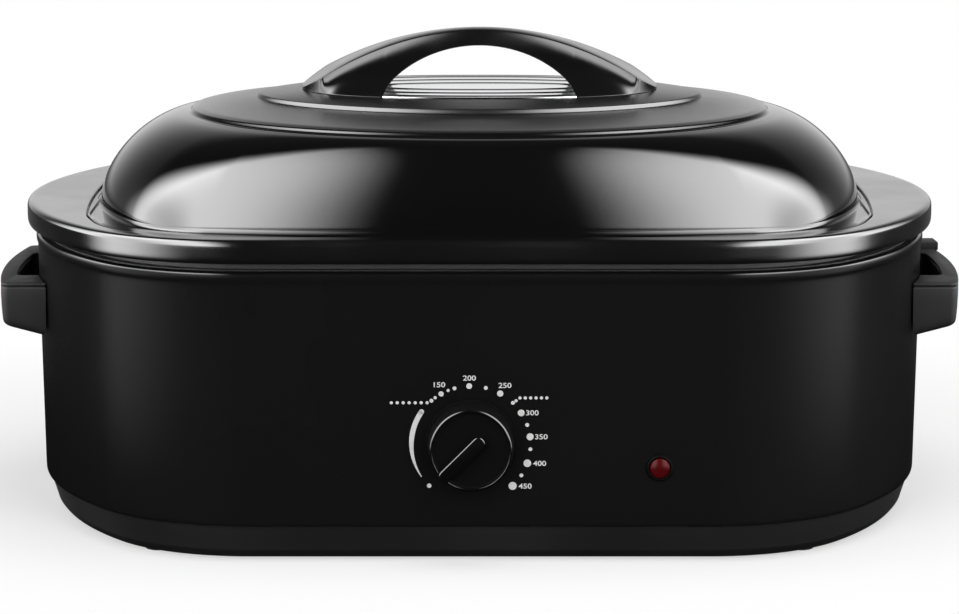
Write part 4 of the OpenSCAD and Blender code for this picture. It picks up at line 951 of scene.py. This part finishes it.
# Wiping has made the crown duller than the dome's sides.
tree = lid_enamel.node_tree
roughness = tree.nodes["Principled BSDF"].inputs["Roughness"]
duller = ease(tree, place_along(tree, "Z"), (crown_z - 16) * mm, (crown_z - 6) * mm, 0.0, 0.2)
tree.links.new(calculate(tree, "ADD", roughness.links[0].from_socket, duller), roughness)
flange = 11.5
cut = 239.5
lid_foot = [bulge_ring(0.6, seat_z), bulge_ring(2.2, seat_z)]
lid_foot += [cut_ring(flange - front_in, z, cut - end_in) for front_in, end_in, z in (
    (1.6, 1.6, seat_z), (0.6, 0.6, seat_z), (0.1, 0.1, 191.3), (0, 0, 192), (0, 0, 192.8), (0.3, 0.3, 193.3),
    (0.9, 0.9, 193.4), (1.6, 1.5, 193), (2.4, 2, 192.4), (3.4, 2.6, lid_face))]
lid_foot += [bulge_ring(3.6, lid_face), bulge_ring(2.6, lid_face), bulge_ring(1.7, lid_face + 0.3)]
lid_rings = dome_skin(lid_t, lid_t)[::-1] + smoothed(lid_foot, 1) + dome_skin(0, 0)
put(skin("enamelled_dome", lid_rings, capped=True),
    "enamelled_dome", "lid", lid_enamel, ["lid_shell"])

# ---- Handle plate ----
# Polished steel oval under the handle, pressed with ripples that follow its edge. The
# lid's two screws hold it between the dome and the handle's feet.
polished = finish("polished_plate", (0.66, 0.66, 0.67), 0.09, Metallic=1.0)
tint(polished, 40, (0.62, 0.62, 0.63), (0.7, 0.7, 0.71))
grain(polished, 500, 0.000004, stretch=(0.06, 1, 1))
plate_long = 43
plate_top = crown_z + 1


def plate_ring(b, z):
    n, count = 2.4, 144
    ring = []
    for i in range(count):
        a = 2 * math.pi * i / count
        x, y = math.cos(a), math.sin(a)
        reach = (abs(x) / (b + plate_long)) ** n + (abs(y) / b) ** n
        ring.append((x * reach ** (-1 / n), y * reach ** (-1 / n), z))
    return np.array(ring)


ripple_rings = [plate_ring(66.8, crown_z), plate_ring(67.8, crown_z + 0.1), plate_ring(67.8, crown_z + 0.4),
                plate_ring(67.4, crown_z + 0.75)]
ripple_places, ripple_half, ripple_h = (20, 40, 58), 3.6, 0.6
for b in np.arange(66.8, 3, -0.8):
    near = min(abs(b - r) for r in ripple_places)
    bulge = ripple_h * (0.5 + 0.5 * math.cos(math.pi * near / ripple_half)) if near < ripple_half else 0
    ripple_rings.append(plate_ring(b, plate_top - 0.9 * ripple_h + bulge))
put(skin("rippled_plate", ripple_rings, capped=True),
    "rippled_plate", "lid", polished, ["handle_plate"])

# ---- Lid handle ----
# One arched moulding in gloss black heat-proof plastic. It is crowned on top, flares down
# to two wide feet, and two screws from under the lid hold it.
grip_plastic = finish("grip_plastic", (0.003, 0.003, 0.0031), 0.17, Specular_IOR_Level=0.3)
grain(grip_plastic, 700, 0.000008)
wear(grip_plastic, 30, 0.14, 0.21)
grip_half, grip_deep, grip_rise, gap_rise, gap_half = 112, 69, 37, 27.5, 64.5
grip_foot = crown_z + 0.1
arch_r = (grip_half ** 2 + (grip_rise - 1) ** 2) / (2 * (grip_rise - 1))
gap_r = (gap_half ** 2 + gap_rise ** 2) / (2 * gap_rise)
gap_side_r = math.hypot(gap_half - 7.5, gap_r - gap_rise)


def grip_underside(x, y):
    """Height of the arch's underside over a point, or of its foot."""
    spread = abs(y) / grip_deep
    radius = gap_r - (gap_r - gap_side_r) * spread ** 3.6
    if abs(x) >= radius:
        return grip_foot
    return max(grip_foot, grip_foot - (gap_r - gap_rise) + math.sqrt(radius * radius - x * x))


def rounded_corner(points, index, radius):
    """Replaces one corner of a cross-section with a short curve."""
    here, before, after = (np.array(points[i]) for i in (index, index - 1, index + 1))
    start = here + (before - here) * min(0.45, radius / np.linalg.norm(before - here))
    end = here + (after - here) * min(0.45, radius / np.linalg.norm(after - here))
    curve = [start * (1 - t) ** 2 + here * 2 * t * (1 - t) + end * t * t for t in np.linspace(0, 1, 5)]
    return points[:index] + [tuple(p) for p in curve] + points[index + 1:]


def grip_section(x):
    """Closed cross-section at x: over the crown, down one flared side, and back under the arch."""
    top = plate_top + grip_rise - arch_r + math.sqrt(arch_r ** 2 - x * x)
    foot = grip_deep * max(0, 1 - (abs(x) / grip_half) ** 2.4) ** (1 / 2.4)
    crease = min(10 + 0.0031 * x * x, foot - 0.4)
    side = []
    for s in np.linspace(0, 1, 40):
        y, z = crease + (foot - crease) * s * s, top - 1.2 + (grip_foot - top + 1.2) * s
        below = z - grip_underside(x, y)
        if below <= 0 and side:
            share = above / (above - below)
            side.append((side[-1][0] + (y - side[-1][0]) * share, side[-1][1] + (z - side[-1][1]) * share))
            break
        side.append((y, z))
        above = below
    reach = side[-1][0]
    lengths = np.concatenate(([0], np.cumsum([math.dist(a, b) for a, b in zip(side, side[1:])])))
    spots = np.linspace(0, lengths[-1], 16)
    even = list(zip(*(np.interp(spots, lengths, column).tolist() for column in zip(*side))))
    crown = [(0, top), (crease * 0.35, top - 0.1), (crease * 0.7, top - 0.5)]
    under = [(reach * u, grip_underside(x, reach * u)) for u in np.linspace(1, 0, 14)[1:]]
    half = crown + even + under
    half = rounded_corner(half, len(crown) + len(even) - 1, 1.3)
    half = rounded_corner(half, len(crown), 1.0)
    whole = half + [(-y, z) for y, z in half[-2:0:-1]]
    return np.array([(x, y, z) for y, z in whole])


stations = sorted({round((grip_half - 0.6) * math.sin(math.radians(a)), 3) for a in range(-90, 91, 2)}
                  | {float(side * x) for side in (-1, 1) for x in range(48, 72)})
put(skin("arched_grip", [grip_section(x) for x in stations], capped=True),
    "arched_grip", "lid", grip_plastic, ["lid_handle"])
